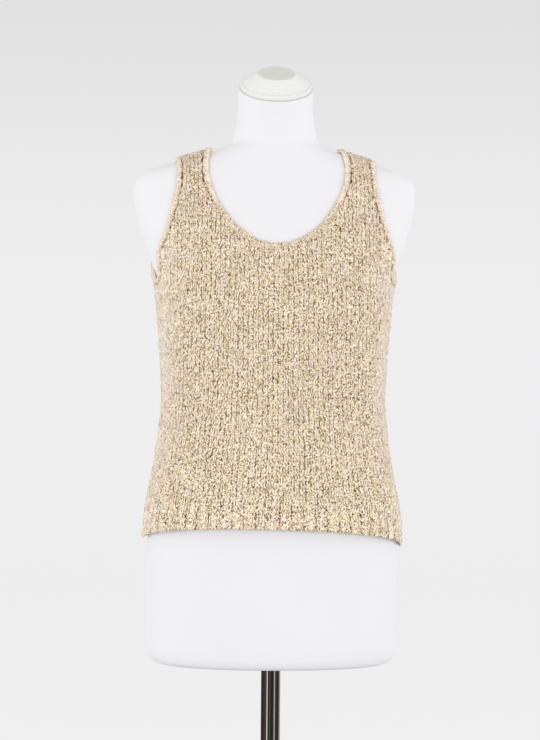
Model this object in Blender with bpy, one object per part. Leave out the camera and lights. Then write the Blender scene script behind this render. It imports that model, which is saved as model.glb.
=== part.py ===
"""Sleeveless boucle knit top worn by a limbless dress form on a short pole.

Units are metres, +Z is up, the front of the garment faces -Y and +X is the
right-hand side of somebody looking at that front (the wearer's left).  The
origin is the centre of the underside of the round base plate.

The dress form is a stack of horizontal rings.  The inner face of the knit is
a second stack of rings: it rests on the form over the shoulders and the bust
and hangs free below.  Every cloth piece is a wall over a patch of that inner
face.  A patch is laid out as a knitter would: "across" runs from the centre
line (0) to the side seam (1), and "rise" runs up a column of stitches, from
the underarm level (0) to the top of the shoulder (1).
"""
import math

import bmesh
import bpy
import numpy as np

for old in list(bpy.data.objects):
    bpy.data.objects.remove(old, do_unlink=True)

MM = 0.001

# ------------------------------------------------------------------ sizes
SEAM_GAP = 0.3 * MM          # between neighbouring cloth pieces
CLOTH_T = 3.0 * MM           # stocking-stitch fabric
RIB_T = 3.6 * MM             # ribbed hem, a little thicker
BAND_T = 3.6 * MM            # neck and armhole bands
CLEAR_OUT = 2.3 * MM         # inner face of the knit to the form, sideways
CLEAR_UP = 1.8 * MM          # and upwards, over the shoulders

NECKBAND_W = 8.5 * MM
ARMBAND_W = 7.5 * MM
RIB_H = 36.0 * MM

UNDERARM_Z = 821.5 * MM      # the level where "rise" starts
HEM_FRONT_Z = 492.0 * MM     # hem at the centre front
HEM_BACK_Z = 470.0 * MM      # hem at the centre back
HEM_SIDE_Z = 465.0 * MM      # hem at the side seams
HEM_TILT = 5.5 * MM          # the top sits a little lower on its +X side

NECK_SHOULDER_X = 88.5 * MM  # finished neck edge where it crosses the shoulder
ARM_SHOULDER_X = 136.0 * MM  # finished armhole edge there

STRAP_Z = 950.0 * MM         # above this only the shoulder straps remain

FORM_BOTTOM_Z = 300.0 * MM
POLE_R = 13.5 * MM
POLE_SOCKET = 35.0 * MM
BASE_R = 160.0 * MM
BASE_T = 9.0 * MM
BOSS_R = 24.0 * MM
BOSS_H = 26.0 * MM

CAP_TILT = math.radians(30.0)
CAP_CENTRE = (0.0, -8.8 * MM, 1099.5 * MM)

# The dress form, one row a ring, in millimetres.
FORM_COLUMNS = ("height", "half_width", "front", "back", "side", "roundness")
FORM_RINGS = (
    (300.0, 160.0, -103.0, 101.0, 0.0, 2.30),
    (302.5, 166.5, -109.5, 107.5, 0.0, 2.30),
    (307.0, 170.6, -113.6, 111.4, 0.0, 2.30),
    (315.0, 173.8, -116.8, 114.4, 0.0, 2.30),
    (328.0, 175.4, -118.5, 116.4, 0.0, 2.30),
    (365.0, 176.0, -119.6, 118.4, 0.0, 2.30),
    (400.0, 176.0, -119.6, 119.8, 0.0, 2.30),
    (440.0, 175.6, -118.4, 120.0, 0.0, 2.30),
    (470.0, 174.0, -116.4, 117.6, 0.0, 2.30),
    (500.0, 170.0, -113.0, 111.6, 0.0, 2.30),
    (530.0, 162.8, -108.0, 102.0, 0.0, 2.30),
    (560.0, 153.4, -102.2, 91.0, 0.0, 2.28),
    (590.0, 144.2, -97.0, 81.4, 0.0, 2.26),
    (620.0, 137.4, -93.6, 76.0, 0.0, 2.25),
    (645.0, 135.4, -94.0, 75.2, 0.0, 2.22),
    (670.0, 137.2, -98.2, 78.0, -2.0, 2.20),
    (700.0, 142.0, -107.2, 85.0, -4.0, 2.20),
    (730.0, 147.8, -118.0, 92.2, -6.0, 2.22),
    (755.0, 152.2, -125.0, 97.6, -8.0, 2.25),
    (780.0, 155.8, -127.2, 101.6, -9.0, 2.27),
    (805.0, 158.8, -124.6, 104.2, -10.0, 2.27),
    (825.0, 161.6, -119.4, 106.2, -11.0, 2.25),
    (838.0, 164.8, -115.2, 107.2, -12.0, 2.25),
    (850.0, 170.0, -111.6, 108.0, -11.0, 2.24),
    (862.0, 175.2, -108.0, 108.6, -10.0, 2.22),
    (880.0, 181.6, -102.4, 109.0, -7.0, 2.20),
    (905.0, 189.6, -94.0, 108.4, -3.0, 2.18),
    (930.0, 194.8, -84.8, 106.0, 1.0, 2.15),
    (945.0, 196.9, -78.6, 103.0, 3.0, 2.12),
    (957.0, 197.6, -72.8, 99.4, 4.0, 2.09),
    (965.0, 196.7, -68.6, 96.2, 5.0, 2.07),
    (972.0, 192.6, -65.2, 92.8, 5.6, 2.05),
    (978.0, 186.4, -62.4, 89.4, 6.0, 2.03),
    (982.5, 178.6, -60.4, 86.4, 6.0, 2.00),
    (989.0, 160.2, -57.4, 82.0, 6.0, 2.00),
    (995.5, 139.6, -54.8, 77.8, 6.0, 2.00),
    (1001.0, 121.4, -52.9, 74.2, 6.0, 2.00),
    (1006.0, 105.0, -51.3, 71.2, 6.0, 2.00),
    (1011.0, 88.4, -50.0, 68.2, 6.0, 2.00),
    (1015.0, 76.0, -49.0, 65.8, 6.2, 2.00),
    (1019.0, 66.8, -48.2, 63.4, 6.4, 2.00),
    (1025.0, 61.2, -47.5, 60.8, 6.2, 2.00),
    (1034.0, 57.8, -47.0, 58.2, 5.6, 2.00),
    (1045.0, 55.4, -47.0, 56.0, 4.5, 2.00),
)

# The neck leans forward, so its rings tilt, in millimetres and degrees.
NECK_COLUMNS = ("height", "centre", "half_width", "half_depth", "tilt")
NECK_RINGS = (
    (1056.0, 3.5, 54.0, 51.0, 5.0),
    (1068.0, 1.0, 53.0, 50.5, 12.0),
    (1080.0, -2.5, 52.6, 50.2, 19.5),
    (1090.0, -6.0, 52.4, 50.0, 25.5),
    (1099.5, -8.8, 52.3, 50.0, 30.0),
)

# Inner face of the knit where it hangs free, in millimetres.
KNIT_COLUMNS = FORM_COLUMNS
KNIT_RINGS = (
    (440.0, 180.4, -127.2, 124.6, 0.0, 2.30),
    (465.0, 179.4, -126.2, 123.2, 0.0, 2.30),
    (496.0, 177.4, -124.6, 120.0, 0.0, 2.30),
    (525.0, 172.6, -123.0, 115.4, 0.0, 2.30),
    (552.0, 167.2, -122.0, 111.0, 0.0, 2.28),
    (608.0, 158.4, -121.4, 105.4, 0.0, 2.25),
    (664.0, 153.0, -122.6, 103.6, -2.0, 2.22),
    (720.0, 155.2, -126.2, 104.4, -4.0, 2.24),
    (762.0, 158.4, -129.4, 105.6, -8.0, 2.26),
    (786.0, 160.4, -129.6, 106.6, -9.0, 2.27),
    (805.0, 162.4, -127.2, 107.4, -10.0, 2.27),
    (825.0, 165.0, -122.0, 109.4, -11.0, 2.25),
    (840.0, 168.6, -117.4, 110.6, -12.0, 2.25),
    (860.0, 178.0, -111.4, 111.8, -10.0, 2.22),
    (885.0, 186.4, -103.6, 112.0, -6.5, 2.19),
)
KNIT_ON_FORM = (805.0 * MM, 885.0 * MM)   # hangs free below, lies on the form above

# How far the side seam lies in front of the widest line of the body.
SIDE_SEAM_COLUMNS = ("height", "forward")
SIDE_SEAM = ((440.0, 0.0), (500.0, 2.0), (600.0, 9.0), (700.0, 19.0),
             (790.0, 27.0), (830.0, 28.0), (900.0, 28.0))

# Finished edges.  Neck edges give the distance from the centre line for each
# height; armhole edges run from the underarm up and give front-to-back place.
NECK_FRONT_COLUMNS = ("height", "from_centre")
NECK_FRONT = ((876.3, 0.0), (877.6, 13.0), (882.4, 26.7), (890.1, 41.2),
              (903.4, 57.6), (920.4, 70.6), (939.0, 81.7), (957.0, 89.4),
              (973.0, 93.0), (987.0, 94.0), (1001.0, 92.4))
NECK_BACK = ((948.0, 0.0), (949.2, 15.0), (953.0, 31.0), (961.0, 49.0),
             (973.0, 65.0), (987.0, 77.0), (1001.0, 84.6))
ARM_FRONT_COLUMNS = ("height", "depth")
ARM_FRONT = ((830.0, -39.6), (833.6, -46.6), (843.0, -51.4), (855.0, -54.6),
             (871.0, -59.4), (887.0, -64.2), (905.0, -66.0), (921.0, -64.8),
             (939.0, -61.4), (963.0, -53.2), (981.6, -42.0), (995.0, -19.0))
ARM_BACK = ((830.0, -39.6), (830.9, -30.0), (833.5, -20.0), (839.0, -8.0),
            (846.5, 8.0), (856.0, 26.0), (868.5, 48.0), (884.5, 67.0),
            (906.0, 78.4), (930.0, 82.0), (952.0, 80.4), (972.0, 72.0),
            (986.0, 57.6), (995.0, 34.0))


# ------------------------------------------------------- smooth table reading
def smooth(xs, ys):
    """A curve through a table that never overshoots it."""
    xs, ys = np.asarray(xs, float), np.asarray(ys, float)
    step = np.diff(xs)
    slope = np.diff(ys) / step
    tang = np.zeros_like(ys)
    tang[0], tang[-1] = slope[0], slope[-1]
    for i in range(1, len(xs) - 1):
        if slope[i - 1] * slope[i] > 0:
            w1, w2 = 2 * step[i] + step[i - 1], step[i] + 2 * step[i - 1]
            tang[i] = (w1 + w2) / (w1 / slope[i - 1] + w2 / slope[i])

    def value(x):
        x = np.clip(np.asarray(x, float), xs[0], xs[-1])
        i = np.clip(np.searchsorted(xs, x, side="right") - 1, 0, len(xs) - 2)
        t = (x - xs[i]) / step[i]
        return ((1 + 2 * t) * (1 - t) ** 2 * ys[i] + t * (1 - t) ** 2 * step[i] * tang[i]
                + t * t * (3 - 2 * t) * ys[i + 1] + t * t * (t - 1) * step[i] * tang[i + 1])
    return value


def ramp(lo, hi, x):
    t = np.clip((np.asarray(x, float) - lo) / (hi - lo), 0.0, 1.0)
    return t * t * (3.0 - 2.0 * t)


class Body:
    """A stack of horizontal rings, read at any height."""

    def __init__(self, rows):
        cols = np.array(rows, float).T
        cols[:5] *= MM
        self.lo, self.hi = cols[0][0], cols[0][-1]
        self.width, self.front, self.back, self.side, self.round = (
            smooth(cols[0], c) for c in cols[1:])

    def ring(self, z):
        return self.width(z), self.front(z), self.back(z), self.side(z), self.round(z)


FORM = Body(FORM_RINGS)
HANG = Body(KNIT_RINGS)


def knit_ring(z):
    """Half width, front, back, side line and roundness of the knit's inner face."""
    z = np.asarray(z, float)
    w = ramp(*KNIT_ON_FORM, z)
    a0, f0, b0, s0, n0 = HANG.ring(z)
    a1, f1, b1, s1, n1 = FORM.ring(z - CLEAR_UP)
    a1, f1, b1 = a1 + CLEAR_OUT, f1 - CLEAR_OUT, b1 + CLEAR_OUT
    mix = lambda p, q: p * (1 - w) + q * w
    return mix(a0, a1), mix(f0, f1), mix(b0, b1), mix(s0, s1), mix(n0, n1)


def on_ring(face, angle, z):
    """Point at an angle from the front (face -1) or back (face +1) centre line."""
    a, f, b, s, n = knit_ring(z)
    angle = np.asarray(angle, float)
    past = angle > math.pi / 2                   # gone round to the other half
    t = np.where(past, math.pi - angle, angle)
    own_f, other_f = (s - f, b - s) if face < 0 else (b - s, s - f)
    depth = np.where(past, -other_f, own_f)
    x = a * np.abs(np.sin(t)) ** (2 / n)
    y = s + face * depth * np.abs(np.cos(t)) ** (2 / n)
    return np.stack(np.broadcast_arrays(x, y, z), axis=-1)


def field(p):
    """Below 1 inside the knit's inner face, above 1 outside."""
    a, f, b, s, n = knit_ring(p[..., 2])
    dy = p[..., 1] - s
    half = np.where(dy < 0, s - f, b - s)
    return (np.abs(p[..., 0]) / a) ** n + (np.abs(dy) / half) ** n


def outward(p):
    """Unit normal of the inner face."""
    g = np.zeros_like(p)
    h = 0.2 * MM
    for k in range(3):
        d = np.zeros(3)
        d[k] = h
        g[..., k] = (field(p + d) - field(p - d)) / (2 * h)
    return g / np.linalg.norm(g, axis=-1, keepdims=True)


def settle(p):
    """Move points onto the inner face along its normal."""
    p = np.array(p, float)
    h = 0.2 * MM
    for _ in range(4):
        n = outward(p)
        grad = (field(p + n * h) - field(p - n * h)) / (2 * h)
        p = p - n * ((field(p) - 1.0) / grad)[..., None]
    return p


# ------------------------------------------------------- stitch columns
SAMPLES = 240
seam_forward = smooth([r[0] * MM for r in SIDE_SEAM], [r[1] * MM for r in SIDE_SEAM])


def column_angles(face, z):
    """Angle of each of many evenly spaced columns, centre line to side seam."""
    t = np.linspace(0.0, math.pi * 0.75, 900)
    p = on_ring(face, t, z)
    a, f, b, s, n = knit_ring(z)
    # the seam lies on the front half of the ring
    y_seam = s - seam_forward(z)
    frac = float((s - y_seam) / (s - f))
    seam = math.acos(min(1.0, frac ** (n / 2)))
    end = seam if face < 0 else math.pi - seam
    run = np.concatenate([[0.0], np.cumsum(np.linalg.norm(np.diff(p, axis=0), axis=1))])
    total = np.interp(end, t, run)
    return np.interp(np.linspace(0, 1, SAMPLES + 1) * total, run, t), total


ACROSS = np.linspace(0, 1, SAMPLES + 1)
BASE_ANGLE = {face: column_angles(face, UNDERARM_Z)[0] for face in (-1, 1)}
BASE_X = {face: on_ring(face, BASE_ANGLE[face], UNDERARM_Z)[:, 0] for face in (-1, 1)}

_z = np.linspace(957.0 * MM + CLEAR_UP, 1043.0 * MM, 3000)
_a = knit_ring(_z)[0]


def shoulder_height(x):
    """Height of the shoulder line of the knit's inner face."""
    return np.interp(x, _a[::-1], _z[::-1])


def column_angle_at(face, across, z):
    """Columns stand upright on the chest and follow the side near the armhole."""
    flat = np.interp(across, ACROSS, BASE_ANGLE[face])
    x0 = np.interp(across, ACROSS, BASE_X[face])
    a, f, b, s, n = knit_ring(z)
    upright = np.arcsin(np.clip(x0 / a, 0, 1) ** (n / 2))
    w = ramp(0.76, 0.97, across)
    return upright * (1 - w) + flat * w


def columns(face, across, count=90):
    """Polylines up the stitch columns from the underarm level to the shoulder."""
    across = np.atleast_1d(np.asarray(across, float))
    # the columns under the neck opening end level with the shoulder beside it
    top = shoulder_height(np.maximum(np.interp(across, ACROSS, BASE_X[face]), NECK_SHOULDER_X - 4.5 * MM))
    s = np.linspace(1.0, 0.0, count)
    z = top[:, None] - (top[:, None] - UNDERARM_Z) * s[None, :] ** 2
    ang = column_angle_at(face, across[:, None], z)
    p = on_ring(face, ang, z)
    run = np.concatenate([np.zeros((len(across), 1)),
                          np.cumsum(np.linalg.norm(np.diff(p, axis=1), axis=2), axis=1)], axis=1)
    return p, run


def upper(face, across, rise):
    """Points of the inner face above the underarm level."""
    across, rise = np.broadcast_arrays(np.atleast_1d(across).astype(float), rise)
    p, run = columns(face, across.ravel())
    out = np.empty((across.size, 3))
    for i, r in enumerate(rise.ravel()):
        for k in range(3):
            out[i, k] = np.interp(r * run[i, -1], run[i], p[i, :, k])
    return out.reshape(across.shape + (3,))


def hem_height(face, across, hand):
    centre = HEM_FRONT_Z if face < 0 else HEM_BACK_Z
    return centre + (HEM_SIDE_Z - centre) * np.abs(across) ** 2.4 - HEM_TILT * hand * np.abs(across)


def lower(face, across, hand, level):
    """Points below the underarm level: level 0 is the hem, 1 the underarm.
    A level given as ("hem", d) lies d above the hem."""
    across = np.atleast_1d(np.asarray(across, float))
    out = np.empty(across.shape + (3,))
    for i, u in enumerate(across):
        hem = hem_height(face, u, hand)
        z = hem + level[1] if isinstance(level, tuple) else hem + (UNDERARM_Z - hem) * level
        ang, _ = column_angles(face, z)
        out[i] = on_ring(face, np.interp(u, ACROSS, ang), z)
    return out


def locate(face, p):
    """(across, rise) of a point of the inner face above the underarm level."""
    a, f, b, s, n = knit_ring(p[2])
    dy = p[1] - s
    half = (s - f) if dy < 0 else (b - s)
    ang = math.atan2((abs(p[0]) / a) ** (n / 2), (abs(dy) / half) ** (n / 2))
    if dy * face < 0:
        ang = math.pi - ang
    if p[2] > STRAP_Z:                           # columns stand upright here
        k = int(np.argmax(BASE_X[face]))
        u = float(np.interp(abs(p[0]), BASE_X[face][:k], ACROSS[:k]))
    else:
        u = float(np.interp(ang, column_angle_at(face, ACROSS, p[2]), ACROSS))
    q, run = columns(face, u, 400)
    d = np.linalg.norm(q[0] - np.array([abs(p[0]), p[1], p[2]]), axis=1)
    i = int(np.argmin(d))
    best = run[0, i]
    for j in (i - 1, i):
        if 0 <= j < len(d) - 1:
            e = q[0, j + 1] - q[0, j]
            t = np.clip(np.dot(np.array([abs(p[0]), p[1], p[2]]) - q[0, j], e) / np.dot(e, e), 0, 1)
            if np.linalg.norm(q[0, j] + e * t - np.array([abs(p[0]), p[1], p[2]])) <= d[i] + 1e-12:
                best = run[0, j] + t * (run[0, j + 1] - run[0, j])
    return u, float(best / run[0, -1])


# ------------------------------------------------------- finished edges, seams
def edge_curve(face, kind, count=90):
    """(across, rise) along a finished edge from its lowest point to the shoulder."""
    pts = []
    if kind == "neck":
        rows = np.array(NECK_FRONT if face < 0 else NECK_BACK) * MM
        far = np.concatenate([[0], np.cumsum(np.hypot(*np.diff(rows, axis=0).T))])
        steps = np.linspace(0, far[-1], 40)
        for z, x in zip(smooth(far, rows[:, 0])(steps), smooth(far, rows[:, 1])(steps)):
            a, f, b, s, n = knit_ring(z)
            depth = (s - f) if face < 0 else (b - s)
            y = s + face * depth * (1 - (x / a) ** n) ** (1 / n)
            pts.append(locate(face, np.array([x, y, z])))
        x_top = NECK_SHOULDER_X
    else:
        for z, y in (ARM_FRONT if face < 0 else ARM_BACK):
            z, y = z * MM, y * MM
            a, f, b, s, n = knit_ring(z)
            half = (s - f) if y < s else (b - s)
            x = a * (1 - (abs(y - s) / half) ** n) ** (1 / n)
            pts.append(locate(face, np.array([x, y, z])))
        pts[0] = (1.0, pts[0][1])
        x_top = ARM_SHOULDER_X
    pts.append((float(np.interp(x_top, BASE_X[face], ACROSS)), 1.0))
    pts = np.array(pts)
    # spread the table's rows by their real distance before smoothing
    xyz = upper(face, pts[:, 0], pts[:, 1])
    run = np.concatenate([[0], np.cumsum(np.linalg.norm(np.diff(xyz, axis=0), axis=1))])
    t = np.linspace(0, run[-1], count)
    return np.stack([smooth(run, pts[:, 0])(t), smooth(run, pts[:, 1])(t)], axis=1)


def along(points):
    """Unit tangents of an open polyline."""
    d = np.gradient(points, axis=0)
    return d / np.linalg.norm(d, axis=1, keepdims=True)


def seam_curve(face, kind):
    """(across, rise) along the seam where the band joins the panel."""
    edge = edge_curve(face, kind)
    width = NECKBAND_W if kind == "neck" else ARMBAND_W
    xyz = upper(face, edge[:, 0], edge[:, 1])
    tan = along(xyz)
    if kind == "neck":
        tan[0] = (1, 0, 0)
    tan[-1] = (0, -face * 1.0, 0)
    nor = outward(xyz)
    side = np.cross(nor, tan)
    side /= np.linalg.norm(side, axis=1, keepdims=True)
    # away from the opening: down at the bottom of either edge
    if side[0, 2] > 0:
        side = -side
    moved = settle(xyz + side * width)
    out = [locate(face, p) for p in moved]
    out[0] = (0.0 if kind == "neck" else 1.0, out[0][1])
    out[-1] = (out[-1][0], 1.0)
    out = np.array(out)
    keep = [0]
    for i in range(1, len(out)):                 # keep it climbing
        if out[i, 1] > out[keep[-1], 1] + 1e-5:
            keep.append(i)
    return out[keep]


SEAMS = {(face, kind): seam_curve(face, kind) for face in (-1, 1) for kind in ("neck", "arm")}


def seam_across(face, kind, rise):
    s = SEAMS[(face, kind)]
    low = 0.0 if kind == "neck" else 1.0
    return float(np.interp(rise, s[:, 1], s[:, 0], left=low))


def seam_rises(face, kind, count):
    """Rises of evenly spaced stations along a seam, its two ends included."""
    s = SEAMS[(face, kind)]
    xyz = upper(face, s[:, 0], s[:, 1])
    run = np.concatenate([[0], np.cumsum(np.linalg.norm(np.diff(xyz, axis=0), axis=1))])
    return np.interp(np.linspace(0, run[-1], count + 1), run, s[:, 1])


# ------------------------------------------------------- mesh helpers
def material(name, colour, rough, metal=0.0, sheen=0.0):
    m = bpy.data.materials.new(name)
    m.use_nodes = True
    b = m.node_tree.nodes["Principled BSDF"]
    b.inputs["Base Color"].default_value = (*colour, 1.0)
    b.inputs["Roughness"].default_value = rough
    b.inputs["Metallic"].default_value = metal
    b.inputs["Sheen Weight"].default_value = sheen
    m.diffuse_color = (*colour, 1.0)
    return m


def add_object(name, verts, faces, mat, smooth_angle=50.0):
    mesh = bpy.data.meshes.new(name)
    mesh.from_pydata([tuple(map(float, v)) for v in verts], [], faces)
    mesh.validate()
    bm = bmesh.new()
    bm.from_mesh(mesh)
    bmesh.ops.recalc_face_normals(bm, faces=bm.faces)
    if bm.calc_volume(signed=True) < 0:
        bmesh.ops.reverse_faces(bm, faces=bm.faces)
    bm.to_mesh(mesh)
    bm.free()
    mesh.materials.append(mat)
    mesh.shade_smooth()
    mesh.set_sharp_from_angle(angle=math.radians(smooth_angle))
    ob = bpy.data.objects.new(name, mesh)
    bpy.context.scene.collection.objects.link(ob)
    return ob


def wall(name, points, normals, quads, thick, mat):
    """A closed wall: the given inner face and its copy moved out."""
    n = len(points)
    verts = list(points) + list(points + normals * thick)
    faces = [tuple(q) for q in quads] + [tuple(v + n for v in reversed(q)) for q in quads]
    seen = {}
    for q in quads:
        for a, b in zip(q, q[1:] + q[:1]):
            seen[(a, b)] = True
    for a, b in seen:
        if (b, a) not in seen:
            faces.append((b, a, a + n, b + n))
    return add_object(name, verts, faces, mat)


def loft(name, rings, mat, closed=True, caps=True, smooth_angle=50.0):
    """Rings of equal count, lowest first, bridged into one closed body."""
    count = len(rings[0])
    verts = [p for r in rings for p in r]
    faces = []
    for i in range(len(rings) - 1):
        for j in range(count):
            k = (j + 1) % count
            faces.append((i * count + j, i * count + k, (i + 1) * count + k, (i + 1) * count + j))
    if caps:
        faces.append(tuple(range(count))[::-1])
        faces.append(tuple(range((len(rings) - 1) * count, len(rings) * count)))
    return add_object(name, verts, faces, mat, smooth_angle)


def disc(radius, z, count):
    return [(radius * math.cos(2 * math.pi * j / count), radius * math.sin(2 * math.pi * j / count), z)
            for j in range(count)]


# ------------------------------------------------------- materials
KNIT = material("boucle_knit", (0.62, 0.49, 0.34), 0.95, 0.0, 0.3)
RIB = material("boucle_rib", (0.60, 0.47, 0.33), 0.95, 0.0, 0.3)
BAND = material("boucle_band", (0.58, 0.45, 0.31), 0.95, 0.0, 0.3)
JERSEY = material("white_jersey", (0.86, 0.86, 0.88), 0.85, 0.0, 0.1)
CAP = material("ivory_cap", (0.82, 0.82, 0.77), 0.45)
CHROME = material("chrome_pole", (0.75, 0.75, 0.76), 0.08, 1.0)
STEEL = material("steel_base", (0.62, 0.62, 0.63), 0.3, 1.0)

# ------------------------------------------------------- cloth panels
HALF_COLUMNS = 12
BODY_ROWS = 12
NECK_STATIONS = {-1: 14, 1: 11}
ARM_STATIONS = {-1: 5, 1: 14}               # up to the level of the neck seam


def row_rises(face):
    """Rises of the rows above the underarm level, with the neck seam's stations."""
    neck = seam_rises(face, "neck", NECK_STATIONS[face])
    seam = SEAMS[(face, "arm")]
    low = seam[seam[:, 1] < neck[0]]
    low = np.vstack([low, (seam_across(face, "arm", neck[0]), neck[0])])
    xyz = upper(face, low[:, 0], low[:, 1])
    run = np.concatenate([[0], np.cumsum(np.linalg.norm(np.diff(xyz, axis=0), axis=1))])
    arm = np.interp(np.linspace(0, run[-1], ARM_STATIONS[face] + 1)[:-1], run, low[:, 1])
    return np.array(arm), neck


def in_surface(points, normals, closed=False):
    """Unit vectors across a curve of the surface, to the curve's left."""
    tan = along(points)
    side = np.cross(normals, tan)
    return side / np.linalg.norm(side, axis=1, keepdims=True)


ROWS = {}


def make_panel(name, face):
    mat = KNIT
    grid = {}
    pts, quads = [], []

    def put(p):
        pts.append(p)
        return len(pts) - 1

    span = np.linspace(0, 1, HALF_COLUMNS + 1)
    rows = []                                    # each row: {hand: [vertex ids]}
    for r in range(BODY_ROWS + 1):
        ids = {}
        for hand in (1, -1):
            start = RIB_H + SEAM_GAP / 2
            row = []
            for i, u in enumerate(span):
                if i == 0 and hand < 0:
                    row.append(ids[1][0])
                    continue
                hem = float(hem_height(face, u, hand))
                z = hem + start + (UNDERARM_Z - hem - start) * r / BODY_ROWS
                ang, total = column_angles(face, z)
                uu = u - (SEAM_GAP / 2 / total if i == HALF_COLUMNS else 0.0)
                p = on_ring(face, np.interp(uu, ACROSS, ang), z)
                row.append(put(np.array([hand * p[0], p[1], p[2]])))
            ids[hand] = row
        rows.append(ids)
    arm_rows, neck_rows = row_rises(face)
    rises = np.concatenate([arm_rows, neck_rows])
    split = len(arm_rows)
    rim = {"arm": [], "neck": []}
    for k, rise in enumerate(rises):
        outer = seam_across(face, "arm", rise)
        inner = seam_across(face, "neck", rise) if k > split else 0.0
        if k == len(rises) - 1:
            rise = 1.0
        u = inner + (outer - inner) * span
        p = upper(face, u, rise)
        if k == len(rises) - 1:
            p[:, 1] += face * SEAM_GAP / 2
        rim["arm"].append(upper(face, outer, rise)[0])
        if k >= split:
            rim["neck"].append(upper(face, inner, rise)[0])
        rows.append({"p": p, "open": k > split})
    # draw the seam edges back by half a gap, at right angles to the seam
    for kind, sign in (("arm", -1), ("neck", 1)):
        line = np.array(rim[kind])
        nor = outward(line)
        side = in_surface(line, nor)
        away = side if side[0, 2] < 0 else -side
        rim[kind] = (line, nor, away)
    ROWS[face] = rim
    arm_away, neck_away = rim["arm"][2], rim["neck"][2]
    first = BODY_ROWS + 1
    for k in range(len(rises)):
        p = rows[first + k]["p"]
        p[-1] += arm_away[k] * SEAM_GAP / 2
        if k == 0:
            p[-1][1] += face * SEAM_GAP / 2
        if k >= split:
            p[0] += neck_away[k - split] * SEAM_GAP / 2
        ids = {}
        for hand in (1, -1):
            row = []
            for i in range(HALF_COLUMNS + 1):
                if i == 0 and hand < 0 and not rows[first + k]["open"]:
                    row.append(ids[1][0])
                    continue
                q = p[i].copy()
                if i == 0 and not rows[first + k]["open"]:
                    q[0] = 0.0
                row.append(put(np.array([hand * q[0], q[1], q[2]])))
            ids[hand] = row
        rows[first + k] = ids
    for lowrow, highrow in zip(rows[:-1], rows[1:]):
        for hand in (1, -1):
            for i in range(HALF_COLUMNS):
                q = [lowrow[hand][i], lowrow[hand][i + 1], highrow[hand][i + 1], highrow[hand][i]]
                if hand * face > 0:
                    q.reverse()
                quads.append(q[::-1])
    pts = np.array(pts)
    return wall(name, pts, outward(pts), quads, CLOTH_T, mat)


def make_rib(name, face):
    pts, quads, rows = [], [], []
    span = np.linspace(-1, 1, 2 * HALF_COLUMNS + 1)
    for d in (0.0, 0.5, 1.0):
        row = []
        for i, u in enumerate(span):
            hand = 1 if u >= 0 else -1
            hem = float(hem_height(face, u, hand))
            z = hem + (RIB_H - SEAM_GAP / 2) * d
            ang, total = column_angles(face, z)
            uu = abs(u) - (SEAM_GAP / 2 / total if i in (0, len(span) - 1) else 0.0)
            p = on_ring(face, np.interp(uu, ACROSS, ang), z)
            pts.append((hand * p[0], p[1], p[2]))
            row.append(len(pts) - 1)
        rows.append(row)
    for a, b in zip(rows[:-1], rows[1:]):
        for i in range(len(span) - 1):
            q = [a[i], a[i + 1], b[i + 1], b[i]]
            quads.append(q if face > 0 else q[::-1])
    pts = np.array(pts)
    return wall(name, pts, outward(pts), quads, RIB_T, RIB)


# Band section: place across the band (0 at the seam, 1 at the free edge) and
# height off the form as a part of the band's thickness.
BAND_COLUMNS = ("across", "height")
BAND_SECTION = ((0.0, 0.0), (0.0, 0.86), (0.42, 1.0), (0.86, 0.84), (1.0, 0.45), (0.88, 0.02))


def band_rings(line, nor, away, width):
    """One section ring for each station of a seam line."""
    edge = settle(line - away * width)
    near = line - away * SEAM_GAP / 2
    n_edge = outward(edge)
    rings = []
    for p, q, n0, n1 in zip(near, edge, nor, n_edge):
        ring = []
        for u, h in BAND_SECTION:
            n = n0 * (1 - u) + n1 * u
            n /= np.linalg.norm(n)
            ring.append(p + (q - p) * u + n * h * BAND_T)
        rings.append(ring)
    return rings


def closed_band(name, rings):
    m, k = len(rings), len(rings[0])
    verts = [p for r in rings for p in r]
    faces = []
    for i in range(m):
        j = (i + 1) % m
        for a in range(k):
            b = (a + 1) % k
            faces.append((i * k + a, i * k + b, j * k + b, j * k + a))
    return add_object(name, verts, faces, BAND, 60.0)


def flip(ring):
    return [np.array([-p[0], p[1], p[2]]) for p in ring]


def make_bands():
    rings = {}
    for face in (-1, 1):
        for kind, width in (("neck", NECKBAND_W), ("arm", ARMBAND_W)):
            line, nor, away = ROWS[face][kind]
            away = away.copy()
            if kind == "neck":
                away[0] = (0.0, away[0][1], away[0][2])
            away[-1] = np.array([1.0 if kind == "neck" else -1.0, 0.0, away[-1][2]])
            away[-1] -= nor[-1] * np.dot(nor[-1], away[-1])
            away[-1] /= np.linalg.norm(away[-1])
            if kind == "arm":                    # level across the side seam
                t = np.cross(nor[0], (0.0, 0.0, 1.0))
                away[0] = np.cross(t, nor[0])
                away[0] /= np.linalg.norm(away[0])
                if away[0][2] > 0:
                    away[0] = -away[0]
            rings[(face, kind)] = band_rings(line, nor, away, width)
    neck_half = rings[(-1, "neck")] + rings[(1, "neck")][::-1][1:]
    for p in neck_half[0] + neck_half[-1]:
        p[0] = 0.0
    loop = neck_half + [flip(r) for r in neck_half[::-1][1:-1]]
    closed_band("neckband", loop)
    arm = rings[(-1, "arm")] + rings[(1, "arm")][::-1][1:-1]
    closed_band("armhole_band_left", arm)
    closed_band("armhole_band_right", [flip(r) for r in arm])


make_panel("front_panel", -1)
make_panel("back_panel", 1)
make_rib("hem_rib_front", -1)
make_rib("hem_rib_back", 1)
make_bands()

# ------------------------------------------------------- dress form
FORM_SIDES = 48


def form_ring(z):
    a, f, b, s, n = FORM.ring(z)
    out = []
    for j in range(FORM_SIDES):
        t = 2 * math.pi * j / FORM_SIDES
        cx, sy = math.cos(t), math.sin(t)
        half = (b - s) if sy >= 0 else (s - f)
        out.append((float(a * math.copysign(abs(cx) ** (2 / n), cx)),
                    float(s + half * math.copysign(abs(sy) ** (2 / n), sy)), float(z)))
    return out


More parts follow.
